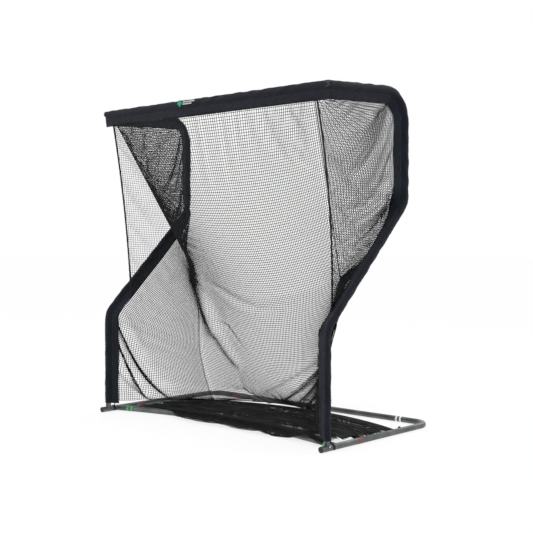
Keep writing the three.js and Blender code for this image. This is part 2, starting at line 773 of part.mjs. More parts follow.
const flip = (at) => (u, v) => at(1 - u, v);
const mirrored = (s, at) => (s < 0 ? at : flip(at));
add("main_net", sheet(mainSheetPoint, 8, 10), netting);
for (const [side, s] of SIDES) {
  add(`side_net_${side}`, sheet(mirrored(s, sideNetPoint(s)), 3, SIDE_STOPS.length - 1), netting);
  add(`return_net_${side}`, sheet(mirrored(s, returnNetPoint(s)), 3, RETURN_STOPS.length - 1), netting);
  add(`lower_side_net_${side}`, sheet(mirrored(s, lowerSideNetPoint(s)), 4, LOWER_STOPS.length - 1), netting);
}
add("floor_net", sheet(floorNetPoint, 16, OPEN_ROWS + DRAPE_ROWS.length - 1), netting);

// ---------------------------------------------------------------- bindings, straps and small pieces
function edgeRope(s) {
  const points = [];
  for (let k = 0; k <= 8; k++) points.push(ropePoint(s, k / 8));
  return solidTube(points, ROPE_R);
}

// A webbing strap over the rail, behind the upright, that holds the foot of the sleeve down.
const STRAP_Y = UPRIGHT_Y + 40;
const STRAP_WIDTH = 14;
const STRAP_BORE = TUBE_R + 1.6;
const STRAP_THICK = 1.6;
function baseStrap(s) {
  const outline = new THREE.Shape();
  outline.moveTo(-STRAP_BORE - STRAP_THICK, 3 - RAIL_Z);
  outline.lineTo(-STRAP_BORE - STRAP_THICK, 0);
  outline.absarc(0, 0, STRAP_BORE + STRAP_THICK, Math.PI, 0, true);
  outline.lineTo(STRAP_BORE + STRAP_THICK, 3 - RAIL_Z);
  outline.lineTo(STRAP_BORE, 3 - RAIL_Z);
  outline.lineTo(STRAP_BORE, 0);
  outline.absarc(0, 0, STRAP_BORE, 0, Math.PI, false);
  outline.lineTo(-STRAP_BORE, 3 - RAIL_Z);
  outline.closePath();
  const g = new THREE.ExtrudeGeometry(outline, { depth: STRAP_WIDTH, bevelEnabled: false, curveSegments: 8 });
  const loop = g.rotateX(Math.PI / 2).translate(s * SIDE_X, STRAP_Y + STRAP_WIDTH / 2, RAIL_Z);
  const tail = new THREE.BoxGeometry(STRAP_THICK, STRAP_WIDTH, 24);
  tail.translate(s * (SIDE_X - 10), STRAP_Y, RAIL_Z + 28);
  return join(loop, tail);
}

// The moulded toggle that pins a rear corner of the floor netting beside the rail.
function cornerToggle(s) {
  const profile = [
    [0, -9],
    [6, -8],
    [8, -3],
    [8, 3],
    [6, 8],
    [0, 9],
  ].map(([r, y]) => new THREE.Vector2(r, y));
  const g = new THREE.LatheGeometry(profile, 10);
  return g.translate(s * (SIDE_X - 42), UPRIGHT_Y + 702, 22);
}

function labelPatch() {
  const g = new THREE.BoxGeometry(150, 1.2, 40);
  return g.translate(-140, UPRIGHT_Y - SLEEVE_R - 2.2, TOP_BAR_Z - 14);
}

for (const [side, s] of SIDES) {
  add(`edge_rope_${side}`, edgeRope(s), binding);
  add(`base_strap_${side}`, baseStrap(s), binding);
  add(`corner_toggle_${side}`, cornerToggle(s), capPlastic);
}
add("label_patch", labelPatch(), patchGreen);

export default net;
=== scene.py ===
"""Golf chipping net: the looks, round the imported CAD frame. Metres, +Z up, and the player stands at -Y."""

import json
import math

import bmesh
import bpy
import numpy as np
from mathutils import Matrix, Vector, noise
from mathutils.bvhtree import BVHTree


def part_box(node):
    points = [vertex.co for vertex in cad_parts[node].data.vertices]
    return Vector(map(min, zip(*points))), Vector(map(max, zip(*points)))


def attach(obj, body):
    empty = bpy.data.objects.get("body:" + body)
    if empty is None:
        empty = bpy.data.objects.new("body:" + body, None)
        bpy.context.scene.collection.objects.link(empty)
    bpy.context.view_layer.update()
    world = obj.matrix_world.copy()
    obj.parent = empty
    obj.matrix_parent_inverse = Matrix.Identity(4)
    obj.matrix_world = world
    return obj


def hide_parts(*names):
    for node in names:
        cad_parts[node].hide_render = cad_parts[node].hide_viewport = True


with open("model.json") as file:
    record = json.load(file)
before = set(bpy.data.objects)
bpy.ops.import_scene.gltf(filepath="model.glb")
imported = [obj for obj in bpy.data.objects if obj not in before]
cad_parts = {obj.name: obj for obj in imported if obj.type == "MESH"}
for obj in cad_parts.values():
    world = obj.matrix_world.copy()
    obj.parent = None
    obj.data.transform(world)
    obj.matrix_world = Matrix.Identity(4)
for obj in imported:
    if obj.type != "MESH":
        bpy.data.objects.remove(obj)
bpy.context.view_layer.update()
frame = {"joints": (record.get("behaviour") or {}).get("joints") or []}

BODY = "frame"
MM = 0.001
SIDES = (("left", -1), ("right", 1))


# ---------------------------------------------------------------- places, read from the frame
def middle(node):
    low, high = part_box(node)
    return (low + high) / 2


cap_low, cap_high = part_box("end_cap_right")
TUBE_R = (cap_high.x - cap_low.x) / 2
SIDE_X = middle("end_cap_right").x
RAIL_Z = middle("end_cap_right").z
UPRIGHT_Y = middle("upright_bolt_right").y
REAR_Y = middle("rear_bar").y
TOP_BAR_Z = middle("top_bar_left").z
NOSE_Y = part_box("side_tube_upper_right")[1].y - TUBE_R
FRONT_END_Y = cap_low.y
RAIL_JOINT_Y = (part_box("colour_band_rail_left_a")[1].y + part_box("colour_band_rail_left_b")[0].y) / 2
REAR_JOINT_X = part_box("rear_bar")[1].x

# the side frame and the bars, as the CAD has them
WALL = 1.4 * MM
ELBOW_Z = 0.632
NOSE_LOW_Z = 1.293
NOSE_TOP_Z = 1.925
ELBOW_R = 0.130
NOSE_TOP_R = 0.170
REAR_CORNER_R = 0.100
FRONT_JOINT_X = 0.795
FRONT_JOINT_Y = UPRIGHT_Y + 0.100
FRONT_BOW = 0.110
SEAM_GAP = 0.3 * MM
FLAP_REACH = 78 * MM
POCKET_R = 19.6 * MM
SLEEVE_END_Z = 56 * MM
BUTTON_TRAVEL_TOP = 20.2 * MM
PINCH = (0.600, UPRIGHT_Y + 0.480, 0.875)  # where the right-hand seam ends; the left one mirrors it

# ---------------------------------------------------------------- camera, floor and light
CAMERA_AT = (4.0653, UPRIGHT_Y - 3.912, 1.0735)
CAMERA_YAW = 0.743
CAMERA_PITCH = -0.0241
LENS_MM = 66.4
SENSOR_MM = 36
STUDIO_HALF = 60.0
# each light: its name, its place, the height that it is aimed at, its size and its power
LIGHTS = (
    ("key", (3.2, -4.2, 4.6), 0.8, 2.6, 90),
    ("fill", (-4.0, -3.0, 2.6), 0.8, 3.0, 25),
    ("back", (0.5, 4.5, 3.6), 1.0, 2.6, 40),
)


def make_camera():
    data = bpy.data.cameras.new("camera")
    data.sensor_width, data.lens = SENSOR_MM, LENS_MM
    camera = bpy.data.objects.new("camera", data)
    camera.location = CAMERA_AT
    camera.rotation_euler = (math.pi / 2 + CAMERA_PITCH, 0, CAMERA_YAW)
    bpy.context.scene.collection.objects.link(camera)
    bpy.context.scene.camera = camera


def area_light(name, at, aim_z, size, power):
    data = bpy.data.lights.new(name, "AREA")
    data.shape, data.size, data.energy = "DISK", size, power
    light = bpy.data.objects.new(name, data)
    light.location = at
    light.rotation_euler = (Vector((0, 0, aim_z)) - Vector(at)).to_track_quat("-Z", "Y").to_euler()
    bpy.context.scene.collection.objects.link(light)


def make_studio():
    scene = bpy.context.scene
    scene.view_settings.view_transform = "Standard"
    scene.view_settings.look = "None"
    world = bpy.data.worlds.new("studio")
    world.use_nodes = True
    background = world.node_tree.nodes["Background"]
    background.inputs["Color"].default_value = (1, 1, 1, 1)
    background.inputs["Strength"].default_value = 1.0
    scene.world = world
    for light in LIGHTS:
        area_light(*light)
    corners = [[(x, y, 0) for x in (-STUDIO_HALF, STUDIO_HALF)] for y in (-STUDIO_HALF, STUDIO_HALF)]
    floor = grid_object("floor", np.array(corners, float), floor_material())


# ---------------------------------------------------------------- materials
class Nodes:
    """A short way to write a material's nodes."""

    def __init__(self, name, colour, rough, metal=0.0):
        self.material = bpy.data.materials.new(name)
        self.material.use_nodes = True
        self.tree = self.material.node_tree
        self.shader = self.tree.nodes["Principled BSDF"]
        self.set("Base Color", (*colour, 1))
        self.set("Roughness", rough)
        self.set("Metallic", metal)
        self.coords = self.tree.nodes.new("ShaderNodeTexCoord").outputs["Object"]

    def set(self, name, value):
        self.shader.inputs[name].default_value = value

    def link(self, source, name):
        self.tree.links.new(source, self.shader.inputs[name])

    def add(self, kind, values=(), links=(), **settings):
        node = self.tree.nodes.new(kind)
        for key, value in settings.items():
            setattr(node, key, value)
        for key, value in dict(values).items():
            node.inputs[key].default_value = value
        for key, source in dict(links).items():
            self.tree.links.new(source, node.inputs[key])
        return node

    def noise(self, scale, detail):
        values = {"Scale": scale, "Detail": detail}
        return self.add("ShaderNodeTexNoise", values, {"Vector": self.coords}).outputs["Fac"]

    def wave(self, scale, direction):
        values = {"Scale": scale, "Distortion": 0.6, "Detail": 1.0, "Detail Scale": 2.0}
        links = {"Vector": self.coords}
        return self.add("ShaderNodeTexWave", values, links, bands_direction=direction).outputs["Fac"]

    def times(self, source, factor):
        node = self.add("ShaderNodeMath", {1: factor}, {0: source}, operation="MULTIPLY")
        return node.outputs[0]

    def plus(self, a, b):
        return self.add("ShaderNodeMath", {}, {0: a, 1: b}, operation="ADD").outputs[0]

    def mottle(self, scale, detail, dark, light, low=0.35, high=0.7):
        """Base colour that wanders between two shades, from where the noise is low to where it is high."""
        node = self.add("ShaderNodeValToRGB", {}, {"Fac": self.noise(scale, detail)})
        for element, place, colour in zip(node.color_ramp.elements, (low, high), (dark, light)):
            element.position = place
            element.color = (*colour, 1)
        self.link(node.outputs["Color"], "Base Color")

    def bump(self, height, strength, distance):
        node = self.add("ShaderNodeBump", {"Strength": strength, "Distance": distance}, {"Height": height})
        self.link(node.outputs["Normal"], "Normal")

    def rough(self, source, low, high):
        node = self.add("ShaderNodeMapRange", {"To Min": low, "To Max": high}, {"Value": source})
        self.link(node.outputs["Result"], "Roughness")


def floor_material():
    """A lit table: mostly its own light, so that only a faint shadow shows."""
    n = Nodes("studio_floor", (0.22, 0.22, 0.22), 0.95)
    n.set("Specular IOR Level", 0.0)
    n.set("Emission Color", (1, 1, 1, 1))
    n.set("Emission Strength", 0.77)
    return n.material


def tube_material():
    """Grey satin-coated aluminium: fine grain, a little mottling and rub marks."""
    n = Nodes("tube_metal", (0.2, 0.21, 0.215), 0.36, 0.75)
    n.mottle(14, 5, (0.085, 0.092, 0.094), (0.15, 0.158, 0.16), low=0.3)
    grain = n.noise(900, 4)
    n.rough(n.plus(n.times(grain, 0.5), n.times(n.noise(30, 4), 0.5)), 0.24, 0.5)
    n.bump(grain, 0.12, 0.0003)
    return n.material


def cloth_material(name, dark, light, weave_scale):
    """Woven polyester: crossing threads, uneven dye and a soft sheen."""
    n = Nodes(name, dark, 0.8)
    n.set("Sheen Weight", 0.03)
    n.set("Sheen Roughness", 0.5)
    n.set("Specular IOR Level", 0.2)
    n.mottle(9, 6, dark, light)
    weave = n.plus(n.wave(weave_scale, "X"), n.plus(n.wave(weave_scale, "Z"), n.wave(weave_scale, "Y")))
    n.bump(n.plus(n.times(weave, 0.4), n.times(n.noise(32, 5), 2.2)), 0.6, 0.0022)
    n.rough(n.noise(60, 4), 0.5, 0.8)
    return n.material


def twine_material(name, dark, light):
    """Knitted polyester twine: a fuzzy, lightly twisted strand."""
    n = Nodes(name, dark, 0.62)
    n.set("Sheen Weight", 0.03)
    n.set("Specular IOR Level", 0.12)
    n.mottle(60, 3, dark, light)
    n.bump(n.noise(1400, 2), 0.5, 0.0004)
    n.rough(n.noise(200, 2), 0.5, 0.75)
    return n.material


def plastic_material(name, colour, rough):
    """Moulded plastic with a fine spark-eroded grain and faint handling marks."""
    n = Nodes(name, colour, rough)
    bright = tuple(min(1, c * 1.35 + 0.004) for c in colour)
    n.mottle(40, 4, colour, bright, high=0.72)
    n.bump(n.noise(1500, 2), 0.18, 0.0002)
    n.rough(n.noise(70, 4), rough - 0.1, rough + 0.12)
    return n.material


def steel_material():
    n = Nodes("button_steel", (0.62, 0.63, 0.65), 0.25, 1.0)
    n.rough(n.noise(500, 3), 0.16, 0.38)
    n.bump(n.noise(2200, 2), 0.08, 0.0001)
    return n.material


# ---------------------------------------------------------------- mesh helpers
AXIS_R = 0.01 * MM  # the radius of a turned surface where it meets its axis
TUBE_EDGE = 0.9 * MM  # how far a tube's cut edge is turned over
BORE_SEEN = 14 * MM  # how deep the bore goes at a tube's open end


def unit(v):
    v = np.asarray(v, float)
    return v / np.maximum(np.linalg.norm(v, axis=-1, keepdims=True), 1e-12)


def mesh_object(name, points, faces, material):
    """faces is a list of index arrays, each of faces with the same number of corners."""
    data = bpy.data.meshes.new(name)
    points = np.asarray(points, np.float32).reshape(-1, 3)
    data.vertices.add(len(points))
    data.vertices.foreach_set("co", points.ravel())
    groups = [np.asarray(f, np.int32) for f in faces if len(f)]
    corners = np.concatenate([g.ravel() for g in groups])
    sizes = np.concatenate([np.full(len(g), g.shape[1], np.int32) for g in groups])
    starts = np.concatenate([[0], np.cumsum(sizes)[:-1]]).astype(np.int32)
    data.loops.add(len(corners))
    data.loops.foreach_set("vertex_index", corners)
    data.polygons.add(len(sizes))
    data.polygons.foreach_set("loop_start", starts)
    data.polygons.foreach_set("use_smooth", np.ones(len(sizes), bool))
    data.update(calc_edges=True)
    data.materials.append(material)
    made = bpy.data.objects.new(name, data)
    bpy.context.scene.collection.objects.link(made)
    return made


def grid_faces(rows, cols, closed=False):
    """Quads over a grid of points stored row by row; closed joins the last column to the first."""
    i = np.arange(rows - 1)[:, None]
    j = np.arange(cols if closed else cols - 1)[None, :]
    a = i * cols + j
    b = i * cols + (j + 1) % cols
    return np.stack([a, b, b + cols, a + cols], -1).reshape(-1, 4)


def capped(rings, sides):
    """The faces of a surface stored ring by ring, with both its ends closed."""
    corner = np.arange(sides)
    ends = [corner[::-1][None, :], ((rings - 1) * sides + corner)[None, :]]
    return [grid_faces(rings, sides, closed=True), *ends]


def grid_object(name, grid, material, closed=False):
    rows, cols = grid.shape[:2]
    return mesh_object(name, grid, [grid_faces(rows, cols, closed)], material)


def joined(name, parts, material):
    """One object of several (points, faces) pairs."""
    points, faces, count = [], [], 0
    for p, groups in parts:
        p = np.asarray(p, float).reshape(-1, 3)
        points.append(p)
        faces += [np.asarray(g) + count for g in groups]
        count += len(p)
    return mesh_object(name, np.concatenate(points), faces, material)


def tangents(path):
    steps = unit(np.diff(path, axis=0))
    inner = unit(steps[:-1] + steps[1:]) if len(steps) > 1 else np.zeros((0, 3))
    return np.concatenate([steps[:1], inner, steps[-1:]])


def distances(path):
    """How far along a path each of its points is."""
    return np.concatenate([[0], np.cumsum(np.linalg.norm(np.diff(path, axis=0), axis=1))])


def carried_frames(path):
    """Two directions square to the path at each point, carried along it without twisting."""
    along = tangents(path)
    x = unit(np.cross(along[0], (0.31, 0.22, 0.92)))
    xs = []
    for t in along:
        x = unit(x - t * np.dot(x, t))
        xs.append(x)
    xs = np.array(xs)
    return along, xs, np.cross(along, xs)


def circle(sides, x, y):
    """The ways out from an axis, evenly round it, from two directions square to it."""
    angle = np.linspace(0, 2 * math.pi, sides, endpoint=False)
    return np.cos(angle)[:, None] * x + np.sin(angle)[:, None] * y


def ring_surface(path, profile, sides=32):
    """A surface round a path. profile gives each ring: the path's point, a shift along it, and the radius."""
    along, x, y = carried_frames(path)
    rings = []
    for k, shift, radius in profile:
        rings.append(path[k] + along[k] * shift + radius * circle(sides, x[k], y[k]))
    return np.concatenate(rings), capped(len(rings), sides)


def tube_surface(path, radius=TUBE_R, open_ends=(True, True)):
    """A cut tube: turned-over edges, and a bore to be seen into at each open end."""
    last = len(path) - 1
    bore = radius - WALL
    start = [(0, BORE_SEEN, bore), (0, 0, bore)] if open_ends[0] else []
    start += [(0, 0, radius - TUBE_EDGE), (0, TUBE_EDGE, radius)]
    body = [(k, 0, radius) for k in range(1, last)]
    end = [(last, -TUBE_EDGE, radius), (last, 0, radius - TUBE_EDGE)]
    end += [(last, 0, bore), (last, -BORE_SEEN, bore)] if open_ends[1] else []
    return ring_surface(path, start + body + end)


def bent(corners, radii, step=0.012):
    """Corner points joined by straights, with an arc of its own radius at each inner corner."""
    corners = [np.array(c, float) for c in corners]
    points = [corners[0]]
    for k, radius in enumerate(radii, 1):
        back, on = unit(corners[k - 1] - corners[k]), unit(corners[k + 1] - corners[k])
        half = math.acos(np.clip(back @ on, -1, 1)) / 2
        centre = corners[k] + unit(back + on) * radius / math.sin(half)
        first, last = (corners[k] + w * radius / math.tan(half) - centre for w in (back, on))
        swing = math.pi - 2 * half
        for t in np.linspace(0, 1, max(6, int(swing * radius / step)) + 1):
            turned = math.sin((1 - t) * swing) * first + math.sin(t * swing) * last
            points.append(centre + turned / math.sin(swing))
    points.append(corners[-1])
    return np.array(points)


def evenly(path, step):
    """The path again, with its points about step apart."""
    path = np.asarray(path, float)
    far = distances(path)
    at = np.linspace(0, far[-1], max(2, round(far[-1] / step)) + 1)
    return np.stack([np.interp(at, far, path[:, k]) for k in range(3)], 1)


def lathe_surface(profile, at, way, sides=32):
    """A turned piece: profile is (distance along way, radius) from one end of the axis to the other."""
    at, way = np.array(at, float), unit(way)
    path = np.array([at, at + way])
    return ring_surface(path, [(0, far, max(r, AXIS_R)) for far, r in profile], sides)


def finish_piece(obj, slot, *nodes, body=BODY):
    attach(obj, body)
    if nodes:
        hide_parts(*nodes)
    return obj


def add_piece(name, parts, material, slot, *nodes, body=BODY):
    """A finished piece of several (points, faces) pairs."""
    return finish_piece(joined(name, parts, MATERIALS[material]), slot, *nodes, body=body)


MATERIALS = {
    "tube": tube_material(),
    "sleeve": cloth_material("sleeve_cloth", (0.0025, 0.0042, 0.0095), (0.0055, 0.0085, 0.0170), 260),
    "webbing": cloth_material("webbing", (0.005, 0.005, 0.006), (0.011, 0.011, 0.013), 420),
    "net": twine_material("net_twine", (0.004, 0.0045, 0.0055), (0.009, 0.01, 0.012)),
    "thread": twine_material("stitch_thread", (0.07, 0.075, 0.085), (0.14, 0.15, 0.165)),
    "cap": plastic_material("cap_plastic", (0.012, 0.012, 0.013), 0.5),
    "steel": steel_material(),
    "red": plastic_material("band_red", (0.42, 0.045, 0.035), 0.42),
    "dark_red": plastic_material("band_dark_red", (0.17, 0.022, 0.02), 0.42),
    "white": plastic_material("band_white", (0.72, 0.72, 0.7), 0.42),
    "green": plastic_material("band_green", (0.03, 0.36, 0.09), 0.42),
    "emblem_green": cloth_material("emblem_green", (0.02, 0.24, 0.15), (0.04, 0.36, 0.24), 500),
    "emblem_pale": cloth_material("emblem_pale", (0.5, 0.5, 0.48), (0.7, 0.7, 0.68), 500),
}
make_camera()
make_studio()


# ---------------------------------------------------------------- the tube frame
NOSE_BACK = NOSE_Y - UPRIGHT_Y
TOP_RISE = (NOSE_TOP_Z - TOP_BAR_Z) / NOSE_BACK
CONNECTOR_ARM = 46 * MM
POST_R, POST_TOP = 14.5 * MM, 76 * MM  # the stub that an upright fits over
BEAD_R, BEAD_SIDES = 1.7 * MM, 8
BUTTON_WAYS = {j["child"].removeprefix("button_"): -np.array(j["axis"]) for j in frame["joints"]}
BUTTON_FOOT = 10.8 * MM  # from the tube's axis to the button's flange
HOLE_R, HOLE_DEEP = 3.5 * MM, 2.8 * MM  # through the outer tube's wall and the plug's
HOLE_EDGE = math.radians(40)  # edges sharper than this are shaded as edges


def on_side(s, back, z):
    return np.array([s * SIDE_X, UPRIGHT_Y + back, z])


def slant_at(s, share):
    return on_side(s, NOSE_BACK * share, ELBOW_Z + (NOSE_LOW_Z - ELBOW_Z) * share)


def front_bar_y(x):
    return FRONT_JOINT_Y + FRONT_BOW * (1 - (x / FRONT_JOINT_X) ** 2)


def front_joint(s):
    return np.array([s * FRONT_JOINT_X, FRONT_JOINT_Y, RAIL_Z])


def front_way(s):
    """The way that the front bar runs at its joint, outward."""
    return unit((s, -2 * FRONT_BOW / FRONT_JOINT_X, 0))


def weld_bead(s):
    """The bead where the front bar's stub meets the rail: it follows where the two tubes cross."""
    way = front_way(s)
    across = np.cross((0, 0, 1), way)
    start = front_joint(s)
    ring = []
    for a in np.linspace(0, 2 * math.pi, 49):
        side = start + TUBE_R * (math.cos(a) * across + math.sin(a) * np.array((0, 0, 1)))
        wall_x = s * (SIDE_X - TUBE_R * abs(math.cos(a)) * 0.995)
        ring.append(side + way * (wall_x - side[0]) / way[0])
    ring = np.array(ring)
    outward = unit(ring - ring.mean(0))
    across = np.cross(tangents(ring), outward)
    lumps = BEAD_R * (1 + 0.18 * np.cos(np.arange(len(ring)) * 2.1))
    grid = ring[:, None] + lumps[:, None, None] * circle(BEAD_SIDES, outward[:, None], across[:, None])
    return grid.reshape(-1, 3), [grid_faces(len(ring), BEAD_SIDES, closed=True)]


def button_foot(name):
    """Where a button's flange is at rest, and the way the button points."""
    way = unit(BUTTON_WAYS[name])
    return np.array(middle(f"snap_button_{name}")) - way * 0.5 * (BUTTON_TRAVEL_TOP - BUTTON_FOOT), way


def drilled(surface, name):
    """A tube with the hole that a snap button comes through."""
    foot, way = button_foot(name)
    low, high = TUBE_R - BUTTON_FOOT - HOLE_DEEP, TUBE_R - BUTTON_FOOT + HOLE_DEEP
    bit = lathe_surface([(low, 0), (low, HOLE_R), (high, HOLE_R), (high, 0)], foot, way, 28)
    tube = joined("tube_to_drill", [surface], MATERIALS["tube"])
    drill = joined("drill", [bit], MATERIALS["tube"])
    cut = tube.modifiers.new("hole", "BOOLEAN")
    cut.operation, cut.solver, cut.object = "DIFFERENCE", "EXACT", drill
    made = tube.evaluated_get(bpy.context.evaluated_depsgraph_get())
    solid = bmesh.new()
    solid.from_mesh(made.data)
    bmesh.ops.triangulate(solid, faces=solid.faces)
    points = np.array([v.co for v in solid.verts])
    faces = np.array([[v.index for v in f.verts] for f in solid.faces])
    solid.free()
    bpy.data.objects.remove(tube)
    bpy.data.objects.remove(drill)
    return points, [faces]


def add_drilled_tube(name, parts, node):
    piece = add_piece(name, parts, "tube", "tube", node)
    piece.data.set_sharp_from_angle(angle=HOLE_EDGE)


def make_rail_front(side, s):
    """The front of a rail, with the stubs that the front bar and the upright fit on."""
    x = s * SIDE_X
    rail_ys = (FRONT_END_Y + 2.2 * MM, -0.35, RAIL_JOINT_Y - SEAM_GAP / 2)
    rail = np.array([(x, y, RAIL_Z) for y in rail_ys])
    way = front_way(s)
    reach = (SIDE_X - FRONT_JOINT_X) / abs(way[0])
    stub = np.array([front_joint(s) + way * far for far in (SEAM_GAP / 2, 0.03, reach)])
    post = np.array([(x, UPRIGHT_Y, RAIL_Z + up) for up in (0, 0.05, POST_TOP)])
    parts = [
        drilled(tube_surface(rail), f"rail_{side}"),
        drilled(tube_surface(stub, open_ends=(True, False)), f"front_{side}"),
        tube_surface(post, POST_R, (False, True)),
        weld_bead(s),
    ]
    add_drilled_tube(f"rail_front_{side}_tube", parts, f"rail_front_{side}")


def make_rear_corner(side, s):
    corners = [
        (s * SIDE_X, RAIL_JOINT_Y + SEAM_GAP / 2, RAIL_Z),
        (s * SIDE_X, REAR_Y, RAIL_Z),
        (s * (REAR_JOINT_X + SEAM_GAP), REAR_Y, RAIL_Z),
    ]
    surface = tube_surface(bent(corners, [REAR_CORNER_R], 0.006))
    add_piece(f"rear_corner_{side}_tube", [surface], "tube", "tube", f"rear_corner_tube_{side}")


def make_bars():
    rear = np.array([(x, REAR_Y, RAIL_Z) for x in np.linspace(-REAR_JOINT_X, REAR_JOINT_X, 9)])
    surface = drilled(drilled(tube_surface(rear), "rear_left"), "rear_right")
    add_drilled_tube("rear_bar_tube", [surface], "rear_bar")
    half = FRONT_JOINT_X - 25 * MM
    front = [(x, front_bar_y(x), RAIL_Z) for x in np.linspace(-half, half, 49)]
    left_end, right_end = (front_joint(s) - front_way(s) * SEAM_GAP / 2 for s in (-1, 1))
    front_surface = tube_surface(np.array([left_end, *front, right_end]))
    add_piece("front_bar_tube", [front_surface], "tube", "tube", "front_bar")
    for side, s in SIDES:
        end = SIDE_X - CONNECTOR_ARM - SEAM_GAP
        top = [(x, UPRIGHT_Y, TOP_BAR_Z) for x in np.linspace(s * SEAM_GAP / 2, s * end, 5)]
        add_piece(f"top_bar_{side}_tube", [tube_surface(np.array(top))], "tube", "tube", f"top_bar_{side}")


def make_side_frame(side, s):
    middle_joint = slant_at(s, 0.5)
    way = unit(middle_joint - slant_at(s, 0))
    foot = on_side(s, 0, RAIL_Z + TUBE_R + 1 * MM)
    lower = bent([foot, on_side(s, 0, ELBOW_Z), middle_joint - way * SEAM_GAP / 2], [ELBOW_R])
    upper_corners = [
        middle_joint + way * SEAM_GAP / 2,
        on_side(s, NOSE_BACK, NOSE_LOW_Z),
        on_side(s, NOSE_BACK, NOSE_TOP_Z),
        on_side(s, CONNECTOR_ARM + SEAM_GAP, TOP_BAR_Z + TOP_RISE * CONNECTOR_ARM),
    ]
    upper = bent(upper_corners, [ELBOW_R, NOSE_TOP_R])
    add_piece(f"upright_{side}_tube", [tube_surface(lower)], "tube", "tube", f"upright_lower_{side}")
    add_piece(f"side_upper_{side}_tube", [tube_surface(upper)], "tube", "tube", f"side_tube_upper_{side}")


def make_connector(side, s):
    """The moulded corner: two arms with ribs, and a spigot on each."""
    outer, groove, spigot = 17.2 * MM, 16.5 * MM, 14.5 * MM
    profile = [(-outer, 0), (-outer, 12 * MM), (-13 * MM, outer)]
    for k in range(3):
        far = (8 + 12 * k) * MM
        profile += [(far, outer), (far + 1 * MM, groove), (far + 3 * MM, groove), (far + 4 * MM, outer)]
    end = CONNECTOR_ARM + 60 * MM
    profile += [(CONNECTOR_ARM, outer), (CONNECTOR_ARM, spigot)]
    profile += [(end - 2 * MM, spigot), (end, spigot - 2 * MM), (end, 0)]
    corner = on_side(s, 0, TOP_BAR_Z)
    parts = [lathe_surface(profile, corner, way) for way in ((0, 1, TOP_RISE), (-s, 0, 0))]
    add_piece(f"top_corner_{side}_moulding", parts, "cap", "cap", f"top_corner_connector_{side}")


def in_mm(profile):
    return [(far * MM, radius * MM) for far, radius in profile]


def make_end_cap(side, s):
    """A plug with a dished face, a rim over the tube's edge and a shank inside the tube."""
    profile = in_mm([(3.4, 0), (3, 5.5), (3, 9.8), (2.2, 10.4), (0.6, 11.2), (0, 12.2), (0, 15.2)])
    profile += [(0.4 * MM, TUBE_R - 0.4 * MM), (0.8 * MM, TUBE_R), (2 * MM, TUBE_R)]
    profile += [(2 * MM, TUBE_R - 1.8 * MM), (16 * MM, TUBE_R - 2 * MM), (16 * MM, 0)]
    surface = lathe_surface(profile, (s * SIDE_X, FRONT_END_Y, RAIL_Z), (0, 1, 0), 40)
    add_piece(f"end_cap_{side}_moulding", [surface], "cap", "cap", f"end_cap_{side}")


def make_bolt(side, s):
    """A bolt through the upright's foot: its shank, its washer and its domed head."""
    centre = middle(f"upright_bolt_{side}")
    start = s * (SIDE_X + 10 * MM)
    profile = [(0, 0), (0, 2.9), (7.3, 2.9), (7.3, 4.9), (7.8, 5.2), (8.8, 5), (10.2, 3.8), (11, 2.2)]
    profile += [(10.8, 2), (9.6, 1.9), (9.6, 0)]
    surface = lathe_surface(in_mm(profile), (start, centre.y, centre.z), (s, 0, 0), 24)
    add_piece(f"upright_bolt_{side}_head", [surface], "steel", "button", f"upright_bolt_{side}")


def make_button(name):
    """A snap button: a domed pin on its flange. The flange stays inside the tube."""
    foot, way = button_foot(name)
    pin, flange, dome = 2.9, 4.3, 1.8
    profile = [(0, 0), (0, flange), (0.9, flange), (0.9, pin), (7.6, pin)]
    for a in np.linspace(0.2, 1.0, 5) * math.pi / 2:
        profile.append((7.6 + dome * math.sin(a), pin * math.cos(a)))
    surface = lathe_surface(in_mm(profile), foot, way, 24)
    node = f"snap_button_{name}"
    add_piece(f"{node}_pin", [surface], "steel", "button", node, body=f"button_{name}")


def make_band(name, which, colour, slot):
    """A thin plastic ring with rolled edges and a faint groove."""
    node = f"colour_band_{name}_{which}"
    kind, side = name.split("_")
    ways = {"rail": (0.0, 1.0, 0.0), "rear": (1.0, 0.0, 0.0), "front": front_way(dict(SIDES)[side])}
    half, r, bore = 6.5 * MM, 17.35 * MM, 16.62 * MM
    rim, rolled = half - 0.4 * MM, r - 0.25 * MM
    profile = [(-half, bore), (-half, rolled), (-rim, r), (-0.5 * MM, r), (0, r - 0.2 * MM)]
    profile += [(0.5 * MM, r), (rim, r), (half, rolled), (half, bore), (-half, bore)]
    centre = np.array(middle(node))
    path = np.array([centre, centre + ways[kind]])
    points, groups = ring_surface(path, [(0, far, radius) for far, radius in profile], 40)
    add_piece(f"band_{name}_{which}", [(points, groups[:1])], colour, slot, node)


BANDS = {
    "rail_left": ("dark_red", "band_red"),
    "rail_right": ("dark_red", "band_red"),
    "rear_left": ("red", "band_red"),
    "rear_right": ("white", "band_white"),
    "front_left": ("green", "band_green"),
    "front_right": ("green", "band_green"),
}


def make_frame():
    make_bars()
    for side, s in SIDES:
        make_rail_front(side, s)
        make_rear_corner(side, s)
        make_side_frame(side, s)
        make_connector(side, s)
        make_end_cap(side, s)
        make_bolt(side, s)
    for name, (colour, slot) in BANDS.items():
        make_button(name)
        for which in "ab":
            make_band(name, which, colour, slot)


make_frame()


# ---------------------------------------------------------------- pole sleeves
SLEEVE_START = 8 * MM  # inside the end of the top sleeve, which it is sewn to
SLEEVE_STEP = 5 * MM
SEAM_AT = 31 * MM  # where the two layers of the flap are stitched together, from the tube's axis
LAYER = 1.3 * MM
CLOTH = 0.7 * MM
RIPPLE = 0.0135  # from one gather to the next, where the cloth is bunched
STITCH, STITCH_GAP, THREAD_R = 4.2 * MM, 3.0 * MM, 0.42 * MM
TOP_SEED, SIDE_SEEDS = 45.1, {-1: 11.3, 1: 27.9}  # so that no two sleeves crease alike


